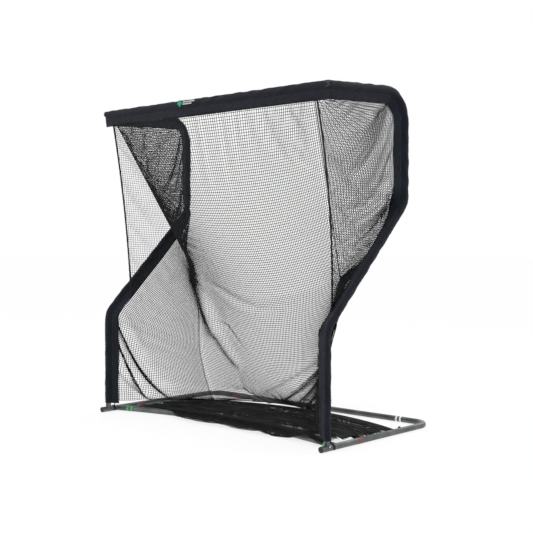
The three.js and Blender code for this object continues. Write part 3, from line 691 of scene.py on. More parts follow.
def smooth(low, high, x):
    t = np.clip((x - low) / (high - low), 0, 1)
    return t * t * (3 - 2 * t)


def mix(a, b, t):
    return np.asarray(a) + (np.asarray(b) - np.asarray(a)) * t


def flap_way(s, p):
    """Which way the flap points: down from the top run, forward on the nose, and inward further down."""
    on_top = (-0.25 * s, 0, -0.97)
    on_nose = (-0.35 * s, -0.94, 0)
    on_slant = (-0.95 * s, 0.22, -0.22)
    on_upright = (-0.94 * s, 0.34, 0)
    if p[2] > NOSE_TOP_Z - NOSE_TOP_R - 0.06:
        return mix(on_top, on_nose, smooth(NOSE_BACK - NOSE_TOP_R, NOSE_BACK - 0.02, p[1] - UPRIGHT_Y))
    if p[2] > ELBOW_Z + 0.12:
        return mix(on_slant, on_nose, smooth(NOSE_LOW_Z - 0.16, NOSE_LOW_Z + 0.12, p[2]))
    return mix(on_upright, on_slant, smooth(ELBOW_Z - 0.08, ELBOW_Z + 0.12, p[2]))


def side_sleeve_corners(s):
    start = on_side(s, SLEEVE_START, TOP_BAR_Z + TOP_RISE * SLEEVE_START)
    nose_top, nose_low = on_side(s, NOSE_BACK, NOSE_TOP_Z), on_side(s, NOSE_BACK, NOSE_LOW_Z)
    return [start, nose_top, nose_low, slant_at(s, 0), on_side(s, 0, SLEEVE_END_Z)]


def section():
    """The sleeve's outline round the tube and flap: rows of (toward the flap, across it, share of flap)."""
    outline = []
    for far in np.linspace(FLAP_REACH, SEAM_AT, 9):
        outline.append((far, LAYER, (far - SEAM_AT) / (FLAP_REACH - SEAM_AT)))
    for a in np.linspace(math.radians(42), math.radians(318), 25):
        outline.append((POCKET_R * math.cos(a), POCKET_R * math.sin(a), 0.0))
    for far in np.linspace(SEAM_AT, FLAP_REACH, 9):
        outline.append((far, -LAYER, (far - SEAM_AT) / (FLAP_REACH - SEAM_AT)))
    return np.array(outline)


def sleeve_frames(path, ways):
    along = tangents(path)
    x = unit(ways - along * (ways * along).sum(1, keepdims=True))
    return along, x, np.cross(along, x)


def sleeve_grid(path, ways, seed, gathers, closing):
    """Rings of points down a sleeve.

    For each point of the path, gathers says how bunched up the cloth is and closing how open the sleeve is,
    both from 0 to 1.
    """
    outline = section()
    _, x, y = sleeve_frames(path, ways)
    far = distances(path)
    rings = []
    for k, centre in enumerate(path):
        ring = []
        bunch = gathers[k]
        ripple = math.sin(far[k] / RIPPLE * 2 * math.pi + 2.5 * noise.noise((far[k] * 9, seed, 3.1)))
        long_wave = noise.noise((far[k] / 0.16, seed, 0.4)) * 7 * MM
        wave = long_wave + noise.noise((far[k] / 0.045, seed, 5.7)) * 3 * MM
        for toward, across, share in outline:
            angle = math.atan2(across, toward)
            crease = noise.noise((far[k] / 0.055 + 0.9 * math.cos(angle), 1.3 * math.sin(angle), seed))
            fine = noise.noise((far[k] / 0.017, 2.2 * angle, seed + 9))
            puff = (3.4 * crease + 1.1 * fine) * MM + bunch * 2.4 * ripple * MM
            if share > 0:
                rim = 1 + share * (0.018 * fine + bunch * 0.06 * ripple)
                aside = across + (wave + bunch * 2.5 * MM * ripple) * share
                ring.append(centre + x[k] * toward * rim + y[k] * aside)
            else:
                scale = max(0.90, 1 + puff / POCKET_R) * closing[k]
                ring.append(centre + (x[k] * toward + y[k] * across) * scale)
        rings.append(ring)
    return np.array(rings)


def solidified(obj):
    """Gives a single skin its cloth's thickness, inward, and applies it."""
    modifier = obj.modifiers.new("cloth", "SOLIDIFY")
    modifier.thickness, modifier.offset = CLOTH, -1
    made = obj.evaluated_get(bpy.context.evaluated_depsgraph_get())
    data = bpy.data.meshes.new_from_object(made)
    obj.modifiers.clear()
    obj.data = data
    return obj


def stitches(path, ways, far_out):
    """A row of thread dashes along both faces of a flap."""
    line = evenly(path, STITCH + STITCH_GAP)
    at = np.linspace(0, 1, len(line))
    base = np.linspace(0, 1, len(ways))
    ways = np.stack([np.interp(at, base, ways[:, k]) for k in range(3)], 1)
    along, x, y = sleeve_frames(line, ways)
    tip, taper = THREAD_R * 0.5, 0.6 * MM
    profile = [(0, 0, tip), (0, taper, THREAD_R), (1, -taper, THREAD_R), (1, 0, tip)]
    parts = []
    for k, centre in enumerate(line[1:-1], 1):
        for face in (1, -1):
            spot = centre + x[k] * far_out + y[k] * face * (LAYER + 0.15 * MM)
            half = along[k] * STITCH / 2
            parts.append(ring_surface(np.array([spot - half, spot + half]), profile, 5))
    return parts


def finish_sleeve(node, path, ways, grid):
    """A sleeve's cloth, and the two rows of stitches along its flap."""
    piece = solidified(grid_object(f"{node}_cloth", grid, MATERIALS["sleeve"], closed=True))
    finish_piece(piece, "sleeve", node)
    rows = stitches(path, ways, FLAP_REACH - 5 * MM) + stitches(path, ways, SEAM_AT + 1 * MM)
    add_piece(f"{node}_stitching", rows, "thread", "sleeve")


SLEEVES = {}


def make_side_sleeve(side, s):
    path = evenly(bent(side_sleeve_corners(s), [NOSE_TOP_R, ELBOW_R, ELBOW_R], 0.004), SLEEVE_STEP)
    ways = np.array([flap_way(s, p) for p in path])
    gathers = smooth(0.5, 0.32, path[:, 2])
    grid = sleeve_grid(path, ways, SIDE_SEEDS[s], gathers, np.ones(len(path)))
    SLEEVES[s] = (path, ways)
    finish_sleeve(f"side_sleeve_{side}", path, ways, grid)


def make_top_sleeve():
    half = SIDE_X + POCKET_R
    path = np.array([(x, UPRIGHT_Y, TOP_BAR_Z) for x in np.arange(-half, half + 2 * MM, SLEEVE_STEP)])
    path[-1, 0] = half
    ways = np.tile(np.array((0, 0.1, -1.0)), (len(path), 1))
    from_end = half - np.abs(path[:, 0])
    closing = np.sqrt(np.clip(1 - (1 - np.clip(from_end / POCKET_R, 0, 1)) ** 2, 0.01, 1))
    grid = sleeve_grid(path, ways, TOP_SEED, np.zeros(len(path)), closing)
    finish_sleeve("top_sleeve", path, ways, grid)


make_top_sleeve()
for side_name, side_sign in SIDES:
    make_side_sleeve(side_name, side_sign)


# ---------------------------------------------------------------- netting: shapes
NET_HOLD = FLAP_REACH - 7 * MM  # the netting's edge is sewn in between the two layers of a flap
NET_TOP_Z = TOP_BAR_Z - NET_HOLD
SHEET_HALF_TOP = 0.806
FOOT_LEFT = (-0.640, 0.755)  # the sheet's lower corners: across, and behind the uprights
FOOT_RIGHT = (0.300, 0.600)  # pulled in under its own weight, further than on the left
FOOT_BACK = 0.905
FOOT_Z = 0.014
WING_COLS, MAIN_COLS, BAG_ROWS = 14, 44, 72
SIDE_COLS, SIDE_ROWS = 18, 44
SAG = np.array((0, -0.03, -0.03))  # of the sheet's middle, above the pinches and below them
BELLY = 0.060  # how much deeper the sheet's middle hangs than the pinches
WING_START, WING_TURN, WING_END = 0.03, 0.22, 0.02  # from the sleeve's start, under the nose, from its end
SIDE_START, SIDE_END = 0.02, 0.17  # a side panel's ends: from the sleeve's start, and above the elbow
# a side net's cord, on the right: its ends and how it bows
ROPE_TOP = (0.828, UPRIGHT_Y - 2 * MM, NET_TOP_Z - 0.012)
ROPE_FOOT = (0.822, UPRIGHT_Y + 0.128, 0.752)
ROPE_BOW = (0.010, 0.026, 0)


def sleeve_lengths(s):
    """How far down its path each point of a side sleeve is, and the middles of its corners."""
    path = SLEEVES[s][0]
    far = distances(path)
    corners = [far[np.argmin(np.linalg.norm(path - np.array(c), axis=1))] for c in side_sleeve_corners(s)]
    return far, corners


def flap_edge(s, length):
    """The edge of the flap where the netting is sewn in, at a length down the sleeve."""
    path, _ = SLEEVES[s]
    _, x, _ = FRAMES[s]
    k = int(np.argmin(np.abs(LENGTHS[s][0] - length)))
    return path[k] + x[k] * NET_HOLD


LENGTHS = {s: sleeve_lengths(s) for _, s in SIDES}
FRAMES = {s: sleeve_frames(*SLEEVES[s]) for _, s in SIDES}


def flap_run(s, start, end, v):
    """A place on the flap's edge between two others, which are lengths down the sleeve."""
    return flap_edge(s, mix(start, end, v))


def main_point(side, v):
    """The ball-stopping sheet; side runs from -1 to 1 and v from the top bar to the ground."""
    belly = BELLY * (1 - side * side)
    pinch = np.array((side * PINCH[0], PINCH[1] + belly, PINCH[2] - belly))
    if v < 0.5:
        t = v * 2
        top = np.array((side * SHEET_HALF_TOP, UPRIGHT_Y + 4 * MM, NET_TOP_Z))
        return mix(top, pinch, t) + SAG * 4 * t * (1 - t) * (1 - side * side)
    t = v * 2 - 1
    curve = FOOT_BACK - (FOOT_LEFT if side < 0 else FOOT_RIGHT)[1]
    x = mix(FOOT_LEFT[0], FOOT_RIGHT[0], (side + 1) / 2)
    foot = np.array((x, UPRIGHT_Y + FOOT_BACK - curve * side * side, FOOT_Z))
    return mix(pinch, foot, t) + SAG * 4 * t * (1 - t)


def wing_edge(s, v):
    """Where a wing's outer edge is sewn: from the corner to under the nose, then to the sleeve's foot."""
    far, corners = LENGTHS[s]
    under_nose = corners[2] + WING_TURN
    if v < 0.5:
        return flap_run(s, WING_START, under_nose, 2 * v)
    return flap_run(s, under_nose, far[-1] - WING_END, 2 * v - 1)


def bag_grid():
    """The whole bag as one grid of points: left wing, ball-stopping sheet, right wing."""
    rows = []
    for v in np.linspace(0, 1, BAG_ROWS + 1):
        left, right = (wing_edge(s, v) for s in (-1, 1))
        row = [mix(main_point(-1, v), left, t) for t in np.linspace(1, 0, WING_COLS + 1)[:-1]]
        row += [main_point(u, v) for u in np.linspace(-1, 1, MAIN_COLS + 1)]
        row += [mix(main_point(1, v), right, t) for t in np.linspace(0, 1, WING_COLS + 1)[1:]]
        rows.append(row)
    return np.array(rows)


def mirrored(place, s):
    """A place on the right-hand side, or its mirror on the left."""
    return np.array((s * place[0], place[1], place[2]))


def rope_point(s, t):
    bow = 4 * t * (1 - t)
    return mix(mirrored(ROPE_TOP, s), mirrored(ROPE_FOOT, s), t) + mirrored(ROPE_BOW, s) * bow


def side_net_grid(s):
    lowest = LENGTHS[s][1][3] - SIDE_END
    rows = [(rope_point(s, v), flap_run(s, SIDE_START, lowest, v)) for v in np.linspace(0, 1, SIDE_ROWS + 1)]
    return np.array([[mix(rope, flap, u) for u in np.linspace(0, 1, SIDE_COLS + 1)] for rope, flap in rows])


# ---------------------------------------------------------------- netting: hanging it
BAG_SLACK, BAG_FRAMES = 0.02, 45
SIDE_SLACK, SIDE_FRAMES = 0.015, 35


def hang(name, grid, pinned, slack, frames):
    """Hangs a grid of cloth under its own weight from its pinned points, and returns it as it hangs."""
    rows, cols = grid.shape[:2]
    cloth = grid_object(name, grid, MATERIALS["net"])
    cloth.vertex_groups.new(name="pin").add([int(k) for k in np.flatnonzero(pinned.ravel())], 1.0, "REPLACE")
    modifier = cloth.modifiers.new("hang", "CLOTH")
    settings = modifier.settings
    settings.quality = 6
    settings.mass = 0.15
    settings.tension_stiffness = 12
    settings.compression_stiffness = 2
    settings.shear_stiffness = 3
    settings.bending_stiffness = 0.02
    settings.tension_damping = settings.compression_damping = settings.shear_damping = 12
    settings.air_damping = 4
    settings.shrink_min = -slack
    settings.vertex_group_mass = "pin"
    modifier.collision_settings.use_collision = False
    modifier.point_cache.frame_start, modifier.point_cache.frame_end = 1, frames
    scene = bpy.context.scene
    for k in range(1, frames + 1):
        scene.frame_set(k)
    made = cloth.evaluated_get(bpy.context.evaluated_depsgraph_get())
    points = np.zeros(rows * cols * 3, np.float32)
    made.data.vertices.foreach_get("co", points)
    scene.frame_set(1)
    bpy.data.objects.remove(cloth)
    return points.reshape(rows, cols, 3).astype(float)


# ---------------------------------------------------------------- netting: twine
PITCH = 14 * MM
STRAND_STEP = 17 * MM  # between the points along a strand
TWINE_SIDES = 3


def sampled(grid, across, down):
    """Points of a grid at fractional places: across and down are arrays of shares from 0 to 1."""
    rows, cols = grid.shape[:2]
    x, y = np.clip(across, 0, 1) * (cols - 1), np.clip(down, 0, 1) * (rows - 1)
    i, j = np.minimum(x.astype(int), cols - 2), np.minimum(y.astype(int), rows - 2)

    def cubic(p0, p1, p2, p3, t):
        t = t[..., None]
        return p1 + 0.5 * t * (p2 - p0 + t * (2 * p0 - 5 * p1 + 4 * p2 - p3 + t * (3 * (p1 - p2) + p3 - p0)))

    def row(k):
        k = np.clip(k, 0, rows - 1)
        at = [grid[k, np.clip(i + d, 0, cols - 1)] for d in (-1, 0, 1, 2)]
        return cubic(*at, x - i)

    return cubic(row(j - 1), row(j), row(j + 1), row(j + 2), y - j)


def lattice(surface, grid_rest, pitch):
    """Twine lines over a hung panel: a square lattice over its rest shape, seen from the side."""
    rows, cols = grid_rest.shape[:2]
    quads = grid_faces(rows, cols)
    tris = np.concatenate([quads[:, [0, 1, 2]], quads[:, [0, 2, 3]]])
    flat = grid_rest.reshape(-1, 3)[:, 1:3]
    tree = BVHTree.FromPolygons([(0.0, a, b) for a, b in flat], [tuple(map(int, t)) for t in tris])
    hung = surface.reshape(-1, 3)
    low, high = flat.min(0), flat.max(0)
    lines = []
    for axis in (0, 1):
        for fixed in np.arange(low[axis] + pitch / 2, high[axis], pitch):
            line = []
            for free in np.arange(low[1 - axis], high[1 - axis] + pitch / 2, pitch):
                a, b = (fixed, free) if axis == 0 else (free, fixed)
                hit, _, index, _ = tree.find_nearest(Vector((0.0, a, b)), 0.35 * pitch)
                if hit is None:
                    lines.append(line)
                    line = []
                    continue
                tri = tris[index]
                corners = flat[tri]
                m = np.array([corners[1] - corners[0], corners[2] - corners[0]]).T
                w = np.linalg.lstsq(m, np.array((hit.y, hit.z)) - corners[0], rcond=None)[0]
                w = np.array((1 - w.sum(), *w))
                line.append(w @ hung[tri])
            lines.append(line)
    return [np.array(line) for line in lines if len(line) > 1]


def twine_surface(lines, radius, facing):
    """Closed strands along many lines at once. facing is a direction that no line runs along."""
    points = np.concatenate(lines)
    count = np.array([len(line) for line in lines])
    ends = np.cumsum(count) - 1
    starts = ends - count + 1
    step = np.zeros_like(points)
    step[:-1] = unit(points[1:] - points[:-1])
    before = np.roll(step, 1, axis=0)
    step[ends] = before[ends]
    before[starts] = step[starts]
    along = unit(step + before)
    x = unit(np.cross(along, facing))
    y = np.cross(along, x)
    rings = points[:, None] + radius * circle(TWINE_SIDES, x[:, None], y[:, None])
    inner = np.setdiff1d(np.arange(len(points)), ends)
    corner = np.arange(TWINE_SIDES)
    a = inner[:, None] * TWINE_SIDES + corner
    b = inner[:, None] * TWINE_SIDES + (corner + 1) % TWINE_SIDES
    quads = np.stack([a, b, b + TWINE_SIDES, a + TWINE_SIDES], -1).reshape(-1, 4)
    first, last = starts[:, None] * TWINE_SIDES + corner[::-1], ends[:, None] * TWINE_SIDES + corner
    return rings.reshape(-1, 3), [quads, np.concatenate([first, last])]


def room(surface, k):
    """How far down a panel that widens from its top has room for its column number k, as a share."""
    if k % 16 == 0:
        return 0.0
    halvings = (k & -k).bit_length() - 1
    widths = np.linalg.norm(np.diff(surface, axis=1), axis=2).sum(1)
    wide = widths >= widths.max() * 0.75 * 0.5**halvings
    return int(np.argmax(wide)) / (len(wide) - 1)


def woven(surface, across, down, widens=False):
    """Twine lines along a hung panel's own length and width, at the shares across and down that are given."""
    width, length = panel_size(surface)
    fine_across = np.linspace(0, 1, max(3, round(width / STRAND_STEP)))
    rows = [sampled(surface, fine_across, np.full_like(fine_across, v)) for v in down]
    columns = []
    for k, u in enumerate(across):
        start = room(surface, k) if widens else 0.0
        fine_down = np.linspace(start, 1, max(3, round((1 - start) * length / STRAND_STEP)))
        columns.append(sampled(surface, np.full_like(fine_down, u), fine_down))
    return rows + columns


def panel_size(grid):
    """A shaped panel's flat size as it is cut: its mean width, and its length."""
    a, b, c, d = grid[:-1, :-1], grid[1:, :-1], grid[1:, 1:], grid[:-1, 1:]
    area = np.linalg.norm(np.cross(c - a, d - b), axis=-1).sum() / 2
    length = np.linalg.norm(np.diff(grid, axis=0), axis=-1).sum(0).mean()
    return float(area / length), float(length)


SIDE_FACING = (1, 0.15, 0.1)  # roughly square to the panels beside the opening
SHEET_FACING = (0.1, 1, 0.35)  # roughly square to the ball-stopping sheet


def make_net(name, node, lines, radius, facing=SIDE_FACING):
    """Strands as one piece of netting."""
    points, groups = twine_surface(lines, radius, facing)
    piece = mesh_object(name, points, groups, MATERIALS["net"])
    finish_piece(piece, "netting", node)


# ---------------------------------------------------------------- netting: its cords
ROPE_SIDES = 14
ROPE_TWIST = 55  # radians a metre
EDGE_ROPE_R, SEAM_R = 5.5 * MM, 2.8 * MM


def rope_surface(path, radius):
    """A cord bound in twine: a round section with three soft lobes that turn along it."""
    _, x, y = carried_frames(path)
    far = distances(path)
    angle = np.linspace(0, 2 * math.pi, ROPE_SIDES, endpoint=False)
    rings = []
    for k, centre in enumerate(path):
        r = radius * (0.93 + 0.1 * np.cos(3 * (angle + far[k] * ROPE_TWIST)))
        rings.append(centre + r[:, None] * circle(ROPE_SIDES, x[k], y[k]))
    return np.concatenate(rings), capped(len(rings), ROPE_SIDES)


def make_edge_rope(side, s):
    """The cord that edges a side net."""
    path = evenly([rope_point(s, t) for t in np.linspace(-0.012, 1.02, 60)], 5 * MM)
    rope = rope_surface(path, EDGE_ROPE_R)
    return add_piece(f"edge_rope_{side}_cord", [rope], "webbing", "binding", f"edge_rope_{side}")


def make_seam(side, s):
    """The cord in the seam between the ball-stopping sheet and a return net."""
    path = evenly([main_point(s, v) for v in np.linspace(0, 0.5, 40)], 5 * MM)
    return add_piece(f"seam_{side}_cord", [rope_surface(path, SEAM_R)], "webbing", "binding")


# ---------------------------------------------------------------- netting: the pieces
TWINE_R = 1.75 * MM
SIDE_TWINE_R = 1.3 * MM
WING_PITCH = 11 * MM  # of the side panels, which look closer knitted
WING_TWINE_R = 1.85 * MM
LOW_PITCH = 9.5 * MM  # of the lower side panels, which are hung looser
MAIN_ACROSS, MAIN_DOWN = 114, 146
MAIN_PITCH = 12.3 * MM  # the mean of the two directions
CROWDING = 0.22  # how much closer the sheet's columns are at its sides than on average
PINCH_ROW = BAG_ROWS // 2
GATHER = {"left": 0.68, "right": 0.25}  # how tightly the netting is drawn in where the seams end
GATHER_R = 0.13
EASE_COLS, EASE_ROWS, EASE_TIMES = 10, 16, 45


def gathered(points, centre, width, share):
    """Points drawn in toward a centre."""
    away = points - centre
    far = np.linalg.norm(away, axis=-1, keepdims=True)
    return points - away * share * np.exp(-((far / width) ** 2))


def eased(hung):
    """The bag with its two corners below the pinches rounded, so that it runs on without a crease there."""
    hung = hung.copy()
    share = smooth(PINCH_ROW, PINCH_ROW + EASE_ROWS, np.arange(BAG_ROWS + 1))[:, None, None]
    for column in (WING_COLS, WING_COLS + MAIN_COLS):
        near = hung[:, column - EASE_COLS : column + EASE_COLS + 1]
        for _ in range(EASE_TIMES):
            between = (near[:, :-2] + near[:, 2:]) / 2
            near[:, 1:-1] += 0.5 * share * (between - near[:, 1:-1])
    return hung


def on_bag(hung, side, v):
    """A point of the hung bag: side is -2 at the left flap, -1 to 1 over the sheet, and 2 at the right."""
    if abs(side) <= 1:
        column = WING_COLS + MAIN_COLS * (side + 1) / 2
    else:
        column = (2 + side) * WING_COLS if side < 0 else WING_COLS + MAIN_COLS + (side - 1) * WING_COLS
    share = column / (2 * WING_COLS + MAIN_COLS)
    return sampled(hung, np.array([share]), np.array([v]))[0]


FOLD_STEPS = 60
# each fold: where on the bag it starts and ends (side, v), its bow, its width, and how tightly it is drawn in
FOLDS = (
    ((2.0, 0.725), (0.78, 1.0), -0.03, 26 * MM, 0.80),
    ((2.0, 0.720), (0.52, 1.0), -0.04, 34 * MM, 0.84),
    ((2.0, 0.715), (0.20, 1.0), -0.05, 36 * MM, 0.84),
    ((2.0, 0.710), (-0.15, 0.99), -0.06, 30 * MM, 0.80),
    ((2.0, 0.705), (-0.50, 0.96), -0.07, 20 * MM, 0.50),
    ((2.0, 0.780), (1.10, 1.0), -0.01, 20 * MM, 0.65),
    ((-2.0, 0.80), (-1.45, 1.0), 0.02, 22 * MM, 0.70),
    ((-2.0, 0.84), (-1.70, 1.0), 0.02, 16 * MM, 0.65),
    ((-2.0, 0.92), (-1.55, 1.0), 0.02, 16 * MM, 0.55),
    ((-0.92, 0.60), (-0.45, 0.80), 0.03, 28 * MM, 0.45),
    ((-1.0, 0.52), (-0.80, 0.72), 0.02, 36 * MM, 0.32),
)


def fold_path(hung, start, end, bow):
    t = np.linspace(0, 1, FOLD_STEPS)
    sides = mix(start[0], end[0], t)
    downs = mix(start[1], end[1], t) + bow * 4 * t * (1 - t)
    return np.array([on_bag(hung, side, v) for side, v in zip(sides, downs)])


def folded(lines, paths):
    """The strands drawn together along each fold, and raised toward the player there."""
    count = np.cumsum([len(line) for line in lines])[:-1]
    points = np.concatenate(lines)
    for path, (_, _, _, width, share) in zip(paths, FOLDS):
        nearest = np.linalg.norm(points[:, None] - path[None], axis=2).argmin(1)
        away, along = points - path[nearest], tangents(path)[nearest]
        across = away - along * (away * along).sum(1, keepdims=True)
        t = nearest / (FOLD_STEPS - 1)
        fade = np.minimum(1, 5 * (1 - t) + 0.1) * np.minimum(1, 8 * t + 0.6)
        pull = np.exp(-((np.linalg.norm(away, axis=1) / (2 * width)) ** 2)) * fade
        points = points - across * (share * pull)[:, None]
        points[:, 1] -= 0.6 * width * pull
    return np.split(points, count)


CREASED = 0.65  # folds drawn in at least this tightly have strands along them
CREASE_STRANDS = 4  # on each side of the middle one


def creases(paths):
    """Strands that run along the tightest folds, close together where a fold starts and then apart."""
    lines = []
    for path, (_, _, _, width, share) in zip(paths, FOLDS):
        if share < CREASED:
            continue
        across = unit(np.cross(tangents(path), SHEET_FACING))
        t = np.linspace(0, 1, len(path))
        for k in range(-CREASE_STRANDS, CREASE_STRANDS + 1):
            wander = np.array([noise.noise((4 * a, 1.7 * k, 90 * width)) for a in t])
            aside = (k * (1.2 + 6 * t) + 6 * wander) * MM
            line = path + across * aside[:, None]
            line[:, 1] -= 0.5 * width
            lines.append(line[: round(len(line) * (0.93 - 0.08 * abs(k)))])
    return lines


def edges_pinned(grid):
    pinned = np.zeros(grid.shape[:2], bool)
    pinned[0] = pinned[-1] = pinned[:, 0] = pinned[:, -1] = True
    return pinned


def hung_bag(rest):
    """The bag as it hangs from its edges and from the two seams, drawn in where the seams end."""
    pinned = edges_pinned(rest)
    for column in (WING_COLS, WING_COLS + MAIN_COLS):
        pinned[: PINCH_ROW + 1, column] = True
    hung = hang("bag_cloth", rest, pinned, BAG_SLACK, BAG_FRAMES)
    for side, s in SIDES:
        hung = gathered(hung, mirrored(PINCH, s), GATHER_R, GATHER[side])
    return eased(hung)


def make_main_net(hung, paths):
    columns = slice(WING_COLS, WING_COLS + MAIN_COLS + 1)
    even = np.linspace(0, 1, MAIN_ACROSS)
    across = even - CROWDING * np.sin(2 * math.pi * even) / (2 * math.pi)
    lines = woven(hung[:, columns], across, np.linspace(0, 1, MAIN_DOWN))
    lines = folded(lines, paths) + creases(paths)
    seams = [make_seam(side, s) for side, s in SIDES]
    above, way, pitch = ["top_sleeve_cloth"], SHEET_FACING, MAIN_PITCH
    make_net("main_net_twine", "main_net", lines, TWINE_R, way)


def make_bag():
    rest = bag_grid()
    hung = hung_bag(rest)
    paths = [fold_path(hung, start, end, bow) for start, end, bow, _, _ in FOLDS]
    make_main_net(hung, paths)
    upper, lower = slice(0, PINCH_ROW + 1), slice(PINCH_ROW, None)
    for side, s in SIDES:
        columns = slice(0, WING_COLS + 1) if s < 0 else slice(WING_COLS + MAIN_COLS, None)
        for part, rows, pitch in (("return", upper, WING_PITCH), ("lower_side", lower, LOW_PITCH)):
            node = f"{part}_net_{side}"
            flat = panel_size(rest[rows, columns])
            across, rungs = (np.linspace(0, 1, round(size / pitch)) for size in flat)
            lines = folded(woven(hung[rows, columns], across, rungs, widens=part == "return"), paths)
            make_net(f"{node}_twine", node, lines, WING_TWINE_R)


def make_side_net(side, s):
    rest = side_net_grid(s)
    hung = hang(f"side_cloth_{side}", rest, edges_pinned(rest), SIDE_SLACK, SIDE_FRAMES)
    lines = lattice(hung, rest, PITCH)
    node = f"side_net_{side}"
    ropes = [make_edge_rope(side, s)]
    make_net(f"{node}_twine", node, lines, SIDE_TWINE_R)


# ---------------------------------------------------------------- netting on the ground
FLOOR_HALF = 0.832
FLOOR_PITCH = 8 * MM  # a closer net than the rest
FLOOR_TWINE_R = 1.4 * MM
FLOOR_ROW = 6 * MM  # its rows are pushed together where it is bunched
FLOOR_DEEP = 0.74
OVER_BAR_Z = RAIL_Z + TUBE_R + 6 * MM
FLOOR_FACING = (0.05, 0.1, 1)
# the heaps of bunched netting: across, behind the uprights, how wide and how high
HEAPS = ((0.70, 0.16, 0.13, 0.050), (0.30, 0.30, 0.20, 0.022), (-0.30, 0.40, 0.25, 0.016))
# each layer of it: its name, how far it is lifted, and its own pattern
FLOOR_LAYERS = (("lower", 0.0, 3.7), ("upper", 5 * MM, 17.2))


def floor_far_y(x):
    return UPRIGHT_Y + 0.880 - 0.190 * (x / FLOOR_HALF) ** 2


def floor_near_y(x):
    edge = (0.160 if x < 0 else 0.055) * smooth(0.2, 0.7, abs(x)) - 0.110
    return front_bar_y(x) + edge


def floor_height(x, y, seed, share):
    """How high the bunched netting lies: long low ridges from side to side, and a few heaps."""
    wander = noise.noise((x * 3.0, share * 3.0, seed))
    ridge = 1 - abs(noise.noise((x * 2.1 + 0.4 * share, share * 9 + wander, seed + 3)))
    height = 2.5 * MM + 17 * MM * max(0.0, ridge - 0.62) / 0.38 * smooth(0, 0.12, share)
    for heap_x, heap_back, spread, high in HEAPS:
        height += high * math.exp(-((x - heap_x) ** 2 + (y - UPRIGHT_Y - heap_back) ** 2) / spread**2)
    from_bar = abs(y - front_bar_y(x))
    drape = 4 * MM + (OVER_BAR_Z - 4 * MM) * np.clip((0.060 - from_bar) / 0.034, 0, 1)
    return max(height, drape)


def floor_layer(lift, seed):
    """One layer of bunched netting: dense strands that run from side to side, and cross strands."""
    shares = np.linspace(0, 1, round(FLOOR_DEEP / FLOOR_ROW))
    grid = []
    for x in np.arange(-FLOOR_HALF, FLOOR_HALF, FLOOR_PITCH):
        ragged = 9 * MM * noise.noise((x * 14, seed, 0.2))
        far, near = floor_far_y(x), floor_near_y(x) + ragged
        column = []
        for share in shares:
            wander = noise.noise((x * 3.0, share * 3.0, seed)) * 0.030 * math.sin(share * math.pi)
            y = mix(far, near, share) + wander
            column.append((x, y, floor_height(x, y, seed, share) + lift))
        grid.append(column)
    return np.array(grid)


def make_floor_net():
    """The spare netting on the ground, folded over itself in two layers."""
    for layer, lift, seed in FLOOR_LAYERS:
        grid = floor_layer(lift, seed)
        lines = list(grid[::2].transpose(1, 0, 2)) + list(grid[:, ::2])
        name, bar = f"floor_net_{layer}_twine", ["front_bar_tube"]
        make_net(name, "floor_net", lines, FLOOR_TWINE_R, FLOOR_FACING)


make_bag()
for side_name, side_sign in SIDES:
    make_side_net(side_name, side_sign)
make_floor_net()


# ---------------------------------------------------------------- small pieces
# the webbing's section: across it and up from its inner face, in its half widths and thicknesses
STRAP_SECTION = ((-1, 0), (-0.9, 1), (0, 1.15), (0.9, 1), (1, 0), (0.9, -0.1), (0, -0.1), (-0.9, -0.1))


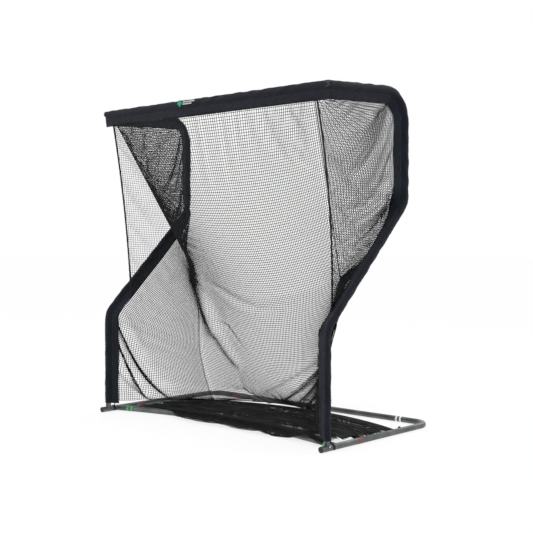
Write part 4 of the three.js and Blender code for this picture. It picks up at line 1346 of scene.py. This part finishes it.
def make_strap(side, s):
    """Webbing over the rail that holds the sleeve's foot down."""
    node = f"base_strap_{side}"
    y = middle(node).y
    width, thick, r = 14 * MM, 1.4 * MM, TUBE_R + 1.7 * MM
    points = []
    for a in np.linspace(math.radians(-42), math.radians(222), 40):
        outward = np.array((math.cos(a), 0, math.sin(a)))
        centre = np.array((s * SIDE_X, y, RAIL_Z)) + outward * r
        for across, up in STRAP_SECTION:
            points.append(centre + np.array((0, across * width / 2, 0)) + outward * thick * up)
    sides = len(STRAP_SECTION)
    loop = (points, capped(len(points) // sides, sides))
    tail = []
    for inward, back, up in ((10, 0, 16), (11, 2, 28), (13, 3, 40)):
        tail.append((s * (SIDE_X - inward * MM), y + back * MM, RAIL_Z + up * MM))
    parts = [loop, rope_surface(evenly(tail, 3 * MM), 3.2 * MM)]
    add_piece(f"{node}_webbing", parts, "webbing", "binding", node)


def make_toggle(side):
    """A barrel with two grooves round it."""
    node = f"corner_toggle_{side}"
    half = [(0.4, 7.8), (1.2, 7.2), (2.6, 7.2), (3.4, 7.6), (5.6, 6.9), (7.6, 5.4), (8.6, 3.6), (9, 0)]
    profile = [(-far, r) for far, r in half[::-1]] + half
    surface = lathe_surface(in_mm(profile), middle(node), (0, 1, 0), 28)
    add_piece(f"{node}_moulding", [surface], "cap", "cap", node)


PATCH_THICK = 0.9 * MM


def pad(points):
    """A flat outline given the patch's thickness, toward the player."""
    points = np.array(points)
    top = points + np.array((0, -PATCH_THICK, 0))
    n = len(points)
    corner = np.arange(n)
    side_faces = np.stack([corner, (corner + 1) % n, n + (corner + 1) % n, n + corner], 1)
    return np.concatenate([points, top]), [side_faces, corner[::-1][None, :], (n + corner)[None, :]]


def make_patch():
    """A plain embroidered diamond and two bars on the top sleeve, with no lettering."""
    low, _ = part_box("label_patch")
    y, z, half = low.y, TOP_BAR_Z, 22 * MM
    centre = low.x + half
    diamond = [(centre + half * math.cos(a), y, z + half * math.sin(a)) for a in np.arange(4) * math.pi / 2]
    add_piece("label_emblem", [pad(diamond)], "emblem_green", "patch", "label_patch")
    bars = []
    for up, long in ((6, 100), (-6, 74)):
        x0, x1 = centre + 25 * MM, centre + (25 + long) * MM
        z0, z1 = z + (up - 4) * MM, z + (up + 4) * MM
        bars.append(pad([(x0, y, z0), (x1, y, z0), (x1, y, z1), (x0, y, z1)]))
    add_piece("label_bars", bars, "emblem_pale", "patch")


for side_name, side_sign in SIDES:
    make_strap(side_name, side_sign)
    make_toggle(side_name)
make_patch()
